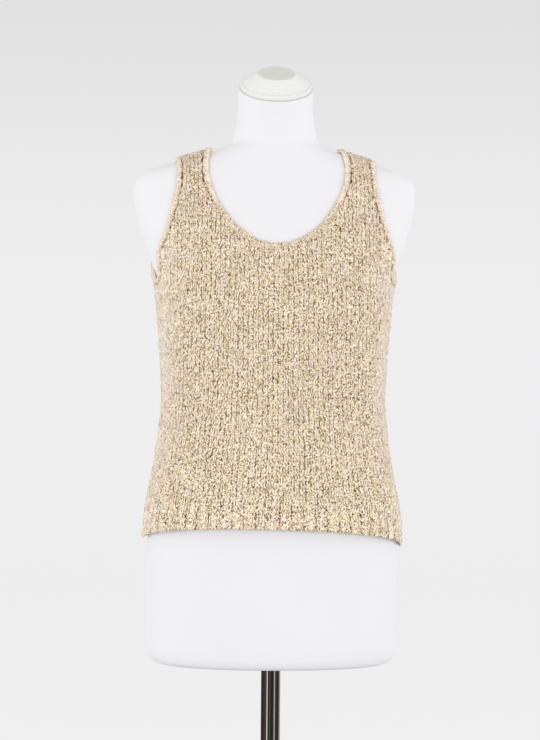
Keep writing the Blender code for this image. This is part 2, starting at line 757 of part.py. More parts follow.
def neck_ring(z, centre, half_width, half_depth, tilt):
    out = []
    for j in range(FORM_SIDES):
        t = 2 * math.pi * j / FORM_SIDES
        d = half_depth * math.sin(t)
        out.append((half_width * math.cos(t) * MM,
                    (centre + d * math.cos(math.radians(tilt))) * MM,
                    (z + d * math.sin(math.radians(tilt))) * MM))
    return out


FORM_HEIGHTS = [row[0] for row in FORM_RINGS]
rings = [disc(POLE_R + SEAM_GAP, FORM_BOTTOM_Z + POLE_SOCKET, FORM_SIDES),
         disc(POLE_R + SEAM_GAP, FORM_BOTTOM_Z, FORM_SIDES)]
rings += [form_ring(z * MM) for z in FORM_HEIGHTS]
rings += [neck_ring(*row) for row in NECK_RINGS]
loft("form_torso", rings, JERSEY, smooth_angle=40.0)

# Neck cap: a turned rim and a low cone with a flat top, square to the neck.
CAP_COLUMNS = ("height", "radius")
CAP_PROFILE = ((0.3, 49.2), (0.9, 50.2), (6.4, 50.2), (7.4, 49.5), (7.6, 47.7),
               (9.2, 46.2), (20.0, 28.9), (21.4, 27.0), (21.8, 25.6))
CAP_SIDES = 40
cap_rings = []
for h, r in CAP_PROFILE:
    ring = []
    for j in range(CAP_SIDES):
        t = 2 * math.pi * j / CAP_SIDES
        x, d = r * MM * math.cos(t), r * MM * math.sin(t) * 0.965
        ring.append((x,
                     CAP_CENTRE[1] + d * math.cos(CAP_TILT) - h * MM * math.sin(CAP_TILT),
                     CAP_CENTRE[2] + d * math.sin(CAP_TILT) + h * MM * math.cos(CAP_TILT)))
    cap_rings.append(ring)
loft("neck_cap", cap_rings, CAP, smooth_angle=30.0)

# ------------------------------------------------------- pole and base
POLE_SIDES = 32
POLE_FOOT = BASE_T + 4.0 * MM
loft("pole", [disc(POLE_R, POLE_FOOT + SEAM_GAP, POLE_SIDES),
              disc(POLE_R, FORM_BOTTOM_Z + POLE_SOCKET - SEAM_GAP, POLE_SIDES)], CHROME)

BASE_COLUMNS = ("radius", "height")
BASE_PROFILE = ((BASE_R - 1.5 * MM, 0.0), (BASE_R, 1.5 * MM), (BASE_R, 5.0 * MM),
                (BASE_R - 3.0 * MM, 7.4 * MM), (BASE_R - 12.0 * MM, BASE_T - 0.2 * MM),
                (BOSS_R + 6.0 * MM, BASE_T), (BOSS_R + 1.5 * MM, BASE_T + 1.6 * MM),
                (BOSS_R, BASE_T + 5.0 * MM), (BOSS_R, BASE_T + BOSS_H - 2.0 * MM),
                (BOSS_R - 2.0 * MM, BASE_T + BOSS_H),
                (POLE_R + SEAM_GAP, BASE_T + BOSS_H), (POLE_R + SEAM_GAP, POLE_FOOT))
BASE_SIDES = 48
loft("base_plate", [disc(r, z, BASE_SIDES) for r, z in BASE_PROFILE], STEEL, smooth_angle=35.0)
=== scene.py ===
"""Looks of the sleeveless boucle knit top on its limbless dress form.

Metres, +Z up, the front faces -Y.  The inner face of the knit and the dress
form are the same stacks of rings as in the CAD part.  Every cloth piece is a
thin closed shell over that inner face, and its outer face carries the
stitches: two leaning legs to each wale, one bulge to each course, gaps that
the curled yarn closes here and there, and small loops of yarn lying on top.
"""

import math

import bmesh
import bpy
import numpy as np
from mathutils import Matrix, Vector


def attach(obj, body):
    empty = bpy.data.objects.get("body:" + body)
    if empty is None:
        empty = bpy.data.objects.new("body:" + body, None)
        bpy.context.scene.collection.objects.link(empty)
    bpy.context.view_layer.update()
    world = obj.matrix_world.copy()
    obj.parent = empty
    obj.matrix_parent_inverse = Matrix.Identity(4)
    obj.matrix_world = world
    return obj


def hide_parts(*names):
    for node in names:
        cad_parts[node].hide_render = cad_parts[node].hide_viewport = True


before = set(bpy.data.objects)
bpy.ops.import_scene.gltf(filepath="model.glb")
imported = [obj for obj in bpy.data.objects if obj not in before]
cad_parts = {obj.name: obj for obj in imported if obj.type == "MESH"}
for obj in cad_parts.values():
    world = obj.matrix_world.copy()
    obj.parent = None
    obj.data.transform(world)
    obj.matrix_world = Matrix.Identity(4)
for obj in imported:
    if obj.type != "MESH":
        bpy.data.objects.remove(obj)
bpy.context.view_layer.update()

MM = 0.001

# ------------------------------------------------------------------ sizes
SEAM_GAP = 0.3 * MM
CLOTH_T = 3.0 * MM
RIB_T = 3.6 * MM
BAND_T = 3.6 * MM
CLEAR_OUT = 2.3 * MM
CLEAR_UP = 1.8 * MM

NECKBAND_W = 8.5 * MM
ARMBAND_W = 7.5 * MM
RIB_H = 36.0 * MM

UNDERARM_Z = 821.5 * MM
HEM_FRONT_Z = 492.0 * MM
HEM_BACK_Z = 470.0 * MM
HEM_SIDE_Z = 465.0 * MM
HEM_TILT = 5.5 * MM

NECK_SHOULDER_X = 88.5 * MM
ARM_SHOULDER_X = 136.0 * MM
STRAP_Z = 950.0 * MM

FORM_BOTTOM_Z = 300.0 * MM
POLE_R = 13.5 * MM
POLE_SOCKET = 35.0 * MM
BASE_R = 160.0 * MM
BASE_T = 9.0 * MM
BOSS_R = 24.0 * MM
BOSS_H = 26.0 * MM

CAP_TILT = math.radians(30.0)
CAP_CENTRE = (0.0, -8.8 * MM, 1099.5 * MM)

# the knitting
HALF_WALES = 30              # wales from the centre line to the side seam
COURSE = 5.0 * MM
PER_WALE = 4                 # mesh columns to a wale
PER_COURSE = 4               # mesh rows to a course
LOW_COURSES = 58             # rib to underarm
HIGH_COURSES = 40            # underarm to shoulder

# The dress form, one row a ring, in millimetres.
FORM_COLUMNS = ("height", "half_width", "front", "back", "side", "roundness")
FORM_RINGS = (
    (300.0, 160.0, -103.0, 101.0, 0.0, 2.30),
    (302.5, 166.5, -109.5, 107.5, 0.0, 2.30),
    (307.0, 170.6, -113.6, 111.4, 0.0, 2.30),
    (315.0, 173.8, -116.8, 114.4, 0.0, 2.30),
    (328.0, 175.4, -118.5, 116.4, 0.0, 2.30),
    (365.0, 176.0, -119.6, 118.4, 0.0, 2.30),
    (400.0, 176.0, -119.6, 119.8, 0.0, 2.30),
    (440.0, 175.6, -118.4, 120.0, 0.0, 2.30),
    (470.0, 174.0, -116.4, 117.6, 0.0, 2.30),
    (500.0, 170.0, -113.0, 111.6, 0.0, 2.30),
    (530.0, 162.8, -108.0, 102.0, 0.0, 2.30),
    (560.0, 153.4, -102.2, 91.0, 0.0, 2.28),
    (590.0, 144.2, -97.0, 81.4, 0.0, 2.26),
    (620.0, 137.4, -93.6, 76.0, 0.0, 2.25),
    (645.0, 135.4, -94.0, 75.2, 0.0, 2.22),
    (670.0, 137.2, -98.2, 78.0, -2.0, 2.20),
    (700.0, 142.0, -107.2, 85.0, -4.0, 2.20),
    (730.0, 147.8, -118.0, 92.2, -6.0, 2.22),
    (755.0, 152.2, -125.0, 97.6, -8.0, 2.25),
    (780.0, 155.8, -127.2, 101.6, -9.0, 2.27),
    (805.0, 158.8, -124.6, 104.2, -10.0, 2.27),
    (825.0, 161.6, -119.4, 106.2, -11.0, 2.25),
    (838.0, 164.8, -115.2, 107.2, -12.0, 2.25),
    (850.0, 170.0, -111.6, 108.0, -11.0, 2.24),
    (862.0, 175.2, -108.0, 108.6, -10.0, 2.22),
    (880.0, 181.6, -102.4, 109.0, -7.0, 2.20),
    (905.0, 189.6, -94.0, 108.4, -3.0, 2.18),
    (930.0, 194.8, -84.8, 106.0, 1.0, 2.15),
    (945.0, 196.9, -78.6, 103.0, 3.0, 2.12),
    (957.0, 197.6, -72.8, 99.4, 4.0, 2.09),
    (965.0, 196.7, -68.6, 96.2, 5.0, 2.07),
    (972.0, 192.6, -65.2, 92.8, 5.6, 2.05),
    (978.0, 186.4, -62.4, 89.4, 6.0, 2.03),
    (982.5, 178.6, -60.4, 86.4, 6.0, 2.00),
    (989.0, 160.2, -57.4, 82.0, 6.0, 2.00),
    (995.5, 139.6, -54.8, 77.8, 6.0, 2.00),
    (1001.0, 121.4, -52.9, 74.2, 6.0, 2.00),
    (1006.0, 105.0, -51.3, 71.2, 6.0, 2.00),
    (1011.0, 88.4, -50.0, 68.2, 6.0, 2.00),
    (1015.0, 76.0, -49.0, 65.8, 6.2, 2.00),
    (1019.0, 66.8, -48.2, 63.4, 6.4, 2.00),
    (1025.0, 61.2, -47.5, 60.8, 6.2, 2.00),
    (1034.0, 57.8, -47.0, 58.2, 5.6, 2.00),
    (1045.0, 55.4, -47.0, 56.0, 4.5, 2.00),
)

# The leaning neck, from the last level ring up, in millimetres and degrees.
NECK_COLUMNS = ("height", "centre", "half_width", "half_depth", "tilt")
NECK_RINGS = (
    (1045.0, 4.5, 55.4, 51.5, 0.0),
    (1056.0, 3.5, 54.0, 51.0, 5.0),
    (1068.0, 1.0, 53.0, 50.5, 12.0),
    (1080.0, -2.5, 52.6, 50.2, 19.5),
    (1090.0, -6.0, 52.4, 50.0, 25.5),
    (1099.5, -8.8, 52.3, 50.0, 30.0),
)

# Inner face of the knit where it hangs free, in millimetres.
KNIT_COLUMNS = FORM_COLUMNS
KNIT_RINGS = (
    (440.0, 180.4, -127.2, 124.6, 0.0, 2.30),
    (465.0, 179.4, -126.2, 123.2, 0.0, 2.30),
    (496.0, 177.4, -124.6, 120.0, 0.0, 2.30),
    (525.0, 172.6, -123.0, 115.4, 0.0, 2.30),
    (552.0, 167.2, -122.0, 111.0, 0.0, 2.28),
    (608.0, 158.4, -121.4, 105.4, 0.0, 2.25),
    (664.0, 153.0, -122.6, 103.6, -2.0, 2.22),
    (720.0, 155.2, -126.2, 104.4, -4.0, 2.24),
    (762.0, 158.4, -129.4, 105.6, -8.0, 2.26),
    (786.0, 160.4, -129.6, 106.6, -9.0, 2.27),
    (805.0, 162.4, -127.2, 107.4, -10.0, 2.27),
    (825.0, 165.0, -122.0, 109.4, -11.0, 2.25),
    (840.0, 168.6, -117.4, 110.6, -12.0, 2.25),
    (860.0, 178.0, -111.4, 111.8, -10.0, 2.22),
    (885.0, 186.4, -103.6, 112.0, -6.5, 2.19),
)
KNIT_ON_FORM = (805.0 * MM, 885.0 * MM)

SIDE_SEAM_COLUMNS = ("height", "forward")
SIDE_SEAM = ((440.0, 0.0), (500.0, 2.0), (600.0, 9.0), (700.0, 19.0),
             (790.0, 27.0), (830.0, 28.0), (900.0, 28.0))

# Finished edges: neck edges give the distance from the centre line for each
# height, armhole edges the front-to-back place.
NECK_FRONT_COLUMNS = ("height", "from_centre")
NECK_FRONT = ((876.3, 0.0), (877.6, 13.0), (882.4, 26.7), (890.1, 41.2),
              (903.4, 57.6), (920.4, 70.6), (939.0, 81.7), (957.0, 89.4),
              (973.0, 93.0), (987.0, 94.0), (1001.0, 92.4))
NECK_BACK = ((948.0, 0.0), (949.2, 15.0), (953.0, 31.0), (961.0, 49.0),
             (973.0, 65.0), (987.0, 77.0), (1001.0, 84.6))
ARM_FRONT_COLUMNS = ("height", "depth")
ARM_FRONT = ((830.0, -39.6), (833.6, -46.6), (843.0, -51.4), (855.0, -54.6),
             (871.0, -59.4), (887.0, -64.2), (905.0, -66.0), (921.0, -64.8),
             (939.0, -61.4), (963.0, -53.2), (981.6, -42.0), (995.0, -19.0))
ARM_BACK = ((830.0, -39.6), (830.9, -30.0), (833.5, -20.0), (839.0, -8.0),
            (846.5, 8.0), (856.0, 26.0), (868.5, 48.0), (884.5, 67.0),
            (906.0, 78.4), (930.0, 82.0), (952.0, 80.4), (972.0, 72.0),
            (986.0, 57.6), (995.0, 34.0))


# ------------------------------------------------------- smooth table reading
def smooth(xs, ys):
    """A curve through a table that never overshoots it."""
    xs, ys = np.asarray(xs, float), np.asarray(ys, float)
    step = np.diff(xs)
    slope = np.diff(ys) / step
    tang = np.zeros_like(ys)
    tang[0], tang[-1] = slope[0], slope[-1]
    for i in range(1, len(xs) - 1):
        if slope[i - 1] * slope[i] > 0:
            w1, w2 = 2 * step[i] + step[i - 1], step[i] + 2 * step[i - 1]
            tang[i] = (w1 + w2) / (w1 / slope[i - 1] + w2 / slope[i])

    def value(x):
        x = np.clip(np.asarray(x, float), xs[0], xs[-1])
        i = np.clip(np.searchsorted(xs, x, side="right") - 1, 0, len(xs) - 2)
        t = (x - xs[i]) / step[i]
        return ((1 + 2 * t) * (1 - t) ** 2 * ys[i] + t * (1 - t) ** 2 * step[i] * tang[i]
                + t * t * (3 - 2 * t) * ys[i + 1] + t * t * (t - 1) * step[i] * tang[i + 1])
    return value


def ramp(lo, hi, x):
    t = np.clip((np.asarray(x, float) - lo) / (hi - lo), 0.0, 1.0)
    return t * t * (3.0 - 2.0 * t)


class Body:
    """A stack of horizontal rings, read at any height."""

    def __init__(self, rows):
        cols = np.array(rows, float).T
        cols[:5] *= MM
        self.width, self.front, self.back, self.side, self.round = (
            smooth(cols[0], c) for c in cols[1:])

    def ring(self, z):
        return self.width(z), self.front(z), self.back(z), self.side(z), self.round(z)


FORM = Body(FORM_RINGS)
HANG = Body(KNIT_RINGS)


def knit_ring(z):
    """Half width, front, back, side line and roundness of the knit's inner face."""
    z = np.asarray(z, float)
    w = ramp(*KNIT_ON_FORM, z)
    a0, f0, b0, s0, n0 = HANG.ring(z)
    a1, f1, b1, s1, n1 = FORM.ring(z - CLEAR_UP)
    a1, f1, b1 = a1 + CLEAR_OUT, f1 - CLEAR_OUT, b1 + CLEAR_OUT
    mix = lambda p, q: p * (1 - w) + q * w
    return mix(a0, a1), mix(f0, f1), mix(b0, b1), mix(s0, s1), mix(n0, n1)


def on_ring(face, angle, z):
    """Point at an angle from the front (face -1) or back (face +1) centre line."""
    a, f, b, s, n = knit_ring(z)
    angle = np.asarray(angle, float)
    past = angle > math.pi / 2
    t = np.where(past, math.pi - angle, angle)
    own_f, other_f = (s - f, b - s) if face < 0 else (b - s, s - f)
    depth = np.where(past, -other_f, own_f)
    x = a * np.abs(np.sin(t)) ** (2 / n)
    y = s + face * depth * np.abs(np.cos(t)) ** (2 / n)
    return np.stack(np.broadcast_arrays(x, y, z), axis=-1)


def field(p):
    """Below 1 inside the knit's inner face, above 1 outside."""
    a, f, b, s, n = knit_ring(p[..., 2])
    dy = p[..., 1] - s
    half = np.where(dy < 0, s - f, b - s)
    return (np.abs(p[..., 0]) / a) ** n + (np.abs(dy) / half) ** n


def outward(p):
    """Unit normal of the inner face."""
    g = np.zeros_like(p)
    h = 0.2 * MM
    for k in range(3):
        d = np.zeros(3)
        d[k] = h
        g[..., k] = (field(p + d) - field(p - d)) / (2 * h)
    return g / np.linalg.norm(g, axis=-1, keepdims=True)


def settle(p):
    """Move points onto the inner face along its normal."""
    p = np.array(p, float)
    h = 0.2 * MM
    for _ in range(4):
        n = outward(p)
        grad = (field(p + n * h) - field(p - n * h)) / (2 * h)
        p = p - n * ((field(p) - 1.0) / grad)[..., None]
    return p


# ------------------------------------------------------- stitch columns
SAMPLES = 240
seam_forward = smooth([r[0] * MM for r in SIDE_SEAM], [r[1] * MM for r in SIDE_SEAM])


def column_angles(face, z):
    """Angle of each of many evenly spaced columns, centre line to side seam."""
    t = np.linspace(0.0, math.pi * 0.75, 900)
    p = on_ring(face, t, z)
    a, f, b, s, n = knit_ring(z)
    y_seam = s - seam_forward(z)
    frac = float((s - y_seam) / (s - f))
    seam = math.acos(min(1.0, frac ** (n / 2)))
    end = seam if face < 0 else math.pi - seam
    run = np.concatenate([[0.0], np.cumsum(np.linalg.norm(np.diff(p, axis=0), axis=1))])
    total = np.interp(end, t, run)
    return np.interp(np.linspace(0, 1, SAMPLES + 1) * total, run, t), total


ACROSS = np.linspace(0, 1, SAMPLES + 1)
BASE_ANGLE = {face: column_angles(face, UNDERARM_Z)[0] for face in (-1, 1)}
BASE_X = {face: on_ring(face, BASE_ANGLE[face], UNDERARM_Z)[:, 0] for face in (-1, 1)}

_z = np.linspace(957.0 * MM + CLEAR_UP, 1043.0 * MM, 3000)
_a = knit_ring(_z)[0]


def shoulder_height(x):
    """Height of the shoulder line of the knit's inner face."""
    return np.interp(x, _a[::-1], _z[::-1])


def column_angle_at(face, across, z):
    """Columns stand upright on the chest and follow the side near the armhole."""
    flat = np.interp(across, ACROSS, BASE_ANGLE[face])
    x0 = np.interp(across, ACROSS, BASE_X[face])
    a, f, b, s, n = knit_ring(z)
    upright = np.arcsin(np.clip(x0 / a, 0, 1) ** (n / 2))
    w = ramp(0.76, 0.97, across)
    return upright * (1 - w) + flat * w


def columns(face, across, count=90):
    """Polylines up the stitch columns from the underarm level to the shoulder."""
    across = np.atleast_1d(np.asarray(across, float))
    # the columns under the neck opening end level with the shoulder beside it
    top = shoulder_height(np.maximum(np.interp(across, ACROSS, BASE_X[face]), NECK_SHOULDER_X - 4.5 * MM))
    s = np.linspace(1.0, 0.0, count)
    z = top[:, None] - (top[:, None] - UNDERARM_Z) * s[None, :] ** 2
    ang = column_angle_at(face, across[:, None], z)
    p = on_ring(face, ang, z)
    run = np.concatenate([np.zeros((len(across), 1)),
                          np.cumsum(np.linalg.norm(np.diff(p, axis=1), axis=2), axis=1)], axis=1)
    return p, run


def hem_height(face, across, hand):
    centre = HEM_FRONT_Z if face < 0 else HEM_BACK_Z
    return centre + (HEM_SIDE_Z - centre) * np.abs(across) ** 2.4 - HEM_TILT * hand * np.abs(across)


def locate(face, p):
    """(across, rise) of a point of the inner face above the underarm level."""
    a, f, b, s, n = knit_ring(p[2])
    dy = p[1] - s
    half = (s - f) if dy < 0 else (b - s)
    ang = math.atan2((abs(p[0]) / a) ** (n / 2), (abs(dy) / half) ** (n / 2))
    if dy * face < 0:
        ang = math.pi - ang
    if p[2] > STRAP_Z:
        k = int(np.argmax(BASE_X[face]))
        u = float(np.interp(abs(p[0]), BASE_X[face][:k], ACROSS[:k]))
    else:
        u = float(np.interp(ang, column_angle_at(face, ACROSS, p[2]), ACROSS))
    q, run = columns(face, u, 400)
    here = np.array([abs(p[0]), p[1], p[2]])
    d = np.linalg.norm(q[0] - here, axis=1)
    i = int(np.argmin(d))
    best = run[0, i]
    for j in (i - 1, i):
        if 0 <= j < len(d) - 1:
            e = q[0, j + 1] - q[0, j]
            t = np.clip(np.dot(here - q[0, j], e) / np.dot(e, e), 0, 1)
            if np.linalg.norm(q[0, j] + e * t - here) <= d[i] + 1e-12:
                best = run[0, j] + t * (run[0, j + 1] - run[0, j])
    return u, float(best / run[0, -1])


# Tables of the inner face, so that any of its points is read at once.
LEVELS = np.linspace(430.0 * MM, UNDERARM_Z, 150)
LOW = {face: [column_angles(face, z) for z in LEVELS] for face in (-1, 1)}
LOW_ANGLE = {face: np.array([r[0] for r in LOW[face]]) for face in (-1, 1)}
LOW_TOTAL = {face: np.array([r[1] for r in LOW[face]]) for face in (-1, 1)}
RISES = np.linspace(0, 1, 241)


def rise_table(face):
    p, run = columns(face, ACROSS, 220)
    out = np.empty((len(ACROSS), len(RISES), 3))
    for i in range(len(ACROSS)):
        for k in range(3):
            out[i, :, k] = np.interp(RISES * run[i, -1], run[i], p[i, :, k])
    return out, run[:, -1]


HIGH = {face: rise_table(face) for face in (-1, 1)}


def between(table, i, j):
    """Bilinear reading of a table at fractional places."""
    i0 = np.clip(np.floor(i).astype(int), 0, table.shape[0] - 2)
    j0 = np.clip(np.floor(j).astype(int), 0, table.shape[1] - 2)
    a, b = i - i0, j - j0
    if table.ndim == 3:
        a, b = a[..., None], b[..., None]
    return (table[i0, j0] * (1 - a) * (1 - b) + table[i0 + 1, j0] * a * (1 - b)
            + table[i0, j0 + 1] * (1 - a) * b + table[i0 + 1, j0 + 1] * a * b)


def low_point(face, u, z):
    """Inner face below the underarm level, u from -1 to 1."""
    u, z = np.broadcast_arrays(np.asarray(u, float), np.asarray(z, float))
    level = (z - LEVELS[0]) / (LEVELS[1] - LEVELS[0])
    angle = between(LOW_ANGLE[face], level, np.abs(u) * SAMPLES)
    p = on_ring(face, angle, z)
    p[..., 0] *= np.where(u < 0, -1.0, 1.0)
    return p


def high_point(face, u, rise):
    """Inner face above the underarm level, u from -1 to 1."""
    u, rise = np.broadcast_arrays(np.asarray(u, float), np.asarray(rise, float))
    p = between(HIGH[face][0], np.abs(u) * SAMPLES, rise * (len(RISES) - 1))
    p[..., 0] *= np.where(u < 0, -1.0, 1.0)
    return p


# ------------------------------------------------------- finished edges, seams
def along(points):
    d = np.gradient(points, axis=0)
    return d / np.linalg.norm(d, axis=1, keepdims=True)


def edge_curve(face, kind, count=90):
    """(across, rise) along a finished edge from its lowest point to the shoulder."""
    pts = []
    if kind == "neck":
        rows = np.array(NECK_FRONT if face < 0 else NECK_BACK) * MM
        far = np.concatenate([[0], np.cumsum(np.hypot(*np.diff(rows, axis=0).T))])
        steps = np.linspace(0, far[-1], 40)
        for z, x in zip(smooth(far, rows[:, 0])(steps), smooth(far, rows[:, 1])(steps)):
            a, f, b, s, n = knit_ring(z)
            depth = (s - f) if face < 0 else (b - s)
            y = s + face * depth * (1 - (x / a) ** n) ** (1 / n)
            pts.append(locate(face, np.array([x, y, z])))
        x_top = NECK_SHOULDER_X
    else:
        for z, y in (ARM_FRONT if face < 0 else ARM_BACK):
            z, y = z * MM, y * MM
            a, f, b, s, n = knit_ring(z)
            half = (s - f) if y < s else (b - s)
            x = a * (1 - (abs(y - s) / half) ** n) ** (1 / n)
            pts.append(locate(face, np.array([x, y, z])))
        pts[0] = (1.0, pts[0][1])
        x_top = ARM_SHOULDER_X
    pts.append((float(np.interp(x_top, BASE_X[face], ACROSS)), 1.0))
    pts = np.array(pts)
    xyz = high_point(face, pts[:, 0], pts[:, 1])
    run = np.concatenate([[0], np.cumsum(np.linalg.norm(np.diff(xyz, axis=0), axis=1))])
    t = np.linspace(0, run[-1], count)
    return np.stack([smooth(run, pts[:, 0])(t), smooth(run, pts[:, 1])(t)], axis=1)


def seam_curve(face, kind):
    """(across, rise) along the seam where the band joins the panel."""
    edge = edge_curve(face, kind)
    width = NECKBAND_W if kind == "neck" else ARMBAND_W
    xyz = high_point(face, edge[:, 0], edge[:, 1])
    tan = along(xyz)
    if kind == "neck":
        tan[0] = (1, 0, 0)
    tan[-1] = (0, -face * 1.0, 0)
    nor = outward(xyz)
    side = np.cross(nor, tan)
    side /= np.linalg.norm(side, axis=1, keepdims=True)
    if side[0, 2] > 0:
        side = -side
    moved = settle(xyz + side * width)
    out = [locate(face, p) for p in moved]
    out[0] = (0.0 if kind == "neck" else 1.0, out[0][1])
    out[-1] = (out[-1][0], 1.0)
    out = np.array(out)
    keep = [0]
    for i in range(1, len(out)):
        if out[i, 1] > out[keep[-1], 1] + 1e-5:
            keep.append(i)
    return out[keep]


SEAMS = {(face, kind): seam_curve(face, kind) for face in (-1, 1) for kind in ("neck", "arm")}


# ------------------------------------------------------- repeatable irregularity
def chance(i, j, seed):
    """A fixed number from 0 to 1 for each pair of whole numbers."""
    h = (np.asarray(i).astype(np.int64) * 374761393 + np.asarray(j).astype(np.int64) * 668265263
         + seed * 974634777) & 0xFFFFFFFF
    h = ((h ^ (h >> 13)) * 1274126177) & 0xFFFFFFFF
    h = ((h ^ (h >> 15)) * 2246822519) & 0xFFFFFFFF
    return ((h ^ (h >> 16)) & 0xFFFFFF) / float(0xFFFFFF)


def drift(x, y, seed):
    """Smooth irregularity from 0 to 1, one value to each unit square."""
    i, j = np.floor(x), np.floor(y)
    a, b = x - i, y - j
    a, b = a * a * (3 - 2 * a), b * b * (3 - 2 * b)
    return (chance(i, j, seed) * (1 - a) * (1 - b) + chance(i + 1, j, seed) * a * (1 - b)
            + chance(i, j + 1, seed) * (1 - a) * b + chance(i + 1, j + 1, seed) * a * b)


def run_along(i, y, seed):
    """Irregularity along one line of the knitting, not shared with its neighbours."""
    j = np.floor(y)
    b = y - j
    b = b * b * (3 - 2 * b)
    return chance(i, j, seed) * (1 - b) + chance(i, j + 1, seed) * b


def stitches(w, c, seed):
    """Relief of stocking stitch: 0 deep in a gap, about 1 on top of a leg."""
    leg = np.floor(2 * w + 1e-6)
    t = np.clip(2 * w - leg, 0, 1)
    f = c - np.floor(c)
    ridge = np.sin(np.pi * t)
    gap = np.round(2 * w)
    plump = run_along(leg, c * 1.15 + 0.37 * leg, seed)
    swell = np.abs(np.sin(np.pi * (f + 0.25 * chance(leg, np.floor(c), seed + 3))))
    closed = ramp(0.48, 0.95, run_along(gap, c * 1.5 + 0.61 * gap, seed + 1))
    middle = (gap % 2) * 0.16                     # the gap within a stitch is shallower
    top = (0.60 + 0.28 * swell) * (0.72 + 0.56 * plump)
    low = 0.02 + middle + 0.62 * closed
    return ridge * top + (1 - ridge) * low, ridge


def shift(w, c, seed):
    """Sideways lean of the legs and slow wandering of the wales."""
    leg = np.floor(2 * w + 1e-6)
    t = np.clip(2 * w - leg, 0, 1)
    f = c - np.floor(c)
    lean = np.where(leg % 2 == 0, -1.0, 1.0) * (f - 0.5) * np.sin(np.pi * t)
    slow = drift(w * 0.22, c * 0.16, seed + 7) - 0.5
    quick = drift(w * 1.7, c * 0.9, seed + 8) - 0.5
    return (0.85 * lean + 1.5 * slow + 1.35 * quick) * MM


# ------------------------------------------------------- mesh helpers
def new_mesh(name, verts, faces, mat, attributes=(), normals=True, smooth_shaded=True):
    me = bpy.data.meshes.new(name)
    me.from_pydata(np.asarray(verts, float).tolist(), [], faces)
    me.update()
    if normals:
        bm = bmesh.new()
        bm.from_mesh(me)
        bmesh.ops.recalc_face_normals(bm, faces=bm.faces)
        if bm.calc_volume(signed=True) < 0:
            bmesh.ops.reverse_faces(bm, faces=bm.faces)
        bm.to_mesh(me)
        bm.free()
    for key, values in attributes:
        values = np.asarray(values, np.float32)
        if values.ndim == 2:
            at = me.attributes.new(key, "FLOAT_VECTOR", "POINT")
            at.data.foreach_set("vector", values.ravel())
        else:
            at = me.attributes.new(key, "FLOAT", "POINT")
            at.data.foreach_set("value", values)
    for m in (mat if isinstance(mat, (list, tuple)) else [mat]):
        me.materials.append(m)
    if smooth_shaded:
        me.shade_smooth()
    ob = bpy.data.objects.new(name, me)
    bpy.context.scene.collection.objects.link(ob)
    return ob


def outline(quads):
    """The one closed loop round a patch of quads."""
    q = np.asarray(quads)
    pairs = np.concatenate([q[:, [0, 1]], q[:, [1, 2]], q[:, [2, 3]], q[:, [3, 0]]])
    known = set(map(tuple, pairs.tolist()))
    follow = {}
    for a, b in known:
        if (b, a) not in known:
            if a in follow:
                raise RuntimeError("the patch pinches at a vertex")
            follow[a] = b
    start = min(follow)
    loop = [start]
    while follow[loop[-1]] != start:
        loop.append(follow[loop[-1]])
    if len(loop) != len(follow):
        raise RuntimeError(f"the patch has more than one outline: {len(loop)} of {len(follow)}")
    return loop


def zip_loops(pa, la, pb, lb, corner):
    """Triangles between two closed loops that run side by side."""
    ia = int(np.argmin(np.linalg.norm(pa[la] - corner, axis=1)))
    ib = int(np.argmin(np.linalg.norm(pb[lb] - corner, axis=1)))
    la, lb = la[ia:] + la[:ia], lb[ib:] + lb[:ib]
    n, m = len(la), len(lb)
    i = j = 0
    out = []
    while i < n or j < m:
        a0, a1 = la[i % n], la[(i + 1) % n]
        b0, b1 = lb[j % m], lb[(j + 1) % m]
        step_a = np.linalg.norm(pa[a1] - pb[b0]) if i < n else 1e9
        step_b = np.linalg.norm(pa[a0] - pb[b1]) if j < m else 1e9
        if step_a <= step_b:
            out.append((a0, a1, ("b", b0)))
            i += 1
        else:
            out.append((a0, ("b", b1), ("b", b0)))
            j += 1
    return out


def shell(name, outer, oquads, inner, iquads, mat, attributes, inner_values):
    """A closed shell: a fine outer face, a coarse inner one, and a rim between."""
    n = len(outer)
    lo, li = outline(oquads), outline(iquads)
    corner = outer[lo[0]]
    rim = zip_loops(outer, lo, inner, li, corner)
    faces = [tuple(q) for q in np.asarray(oquads).tolist()]
    faces += [tuple(v + n for v in reversed(q)) for q in np.asarray(iquads).tolist()]
    for tri in rim:
        f = tuple(v[1] + n if isinstance(v, tuple) else v for v in tri)
        faces.append(f[::-1])
    attrs = [(k, np.concatenate([v, inner_values[k]])) for k, v in attributes]
    ob = new_mesh(name, np.concatenate([outer, inner]), faces, mat, attrs)
    edge_of = set()
    for loop in (lo, [v + n for v in li]):
        edge_of |= {(min(a, b), max(a, b)) for a, b in zip(loop, loop[1:] + loop[:1])}
    ends = np.zeros(len(ob.data.edges) * 2, int)
    ob.data.edges.foreach_get("vertices", ends)
    ends = np.sort(ends.reshape(-1, 2), axis=1)
    sharp = np.array([(a, b) in edge_of for a, b in ends.tolist()])
    at = ob.data.attributes.get("sharp_edge") or ob.data.attributes.new("sharp_edge", "BOOLEAN", "EDGE")
    at.data.foreach_set("value", sharp)
    return ob


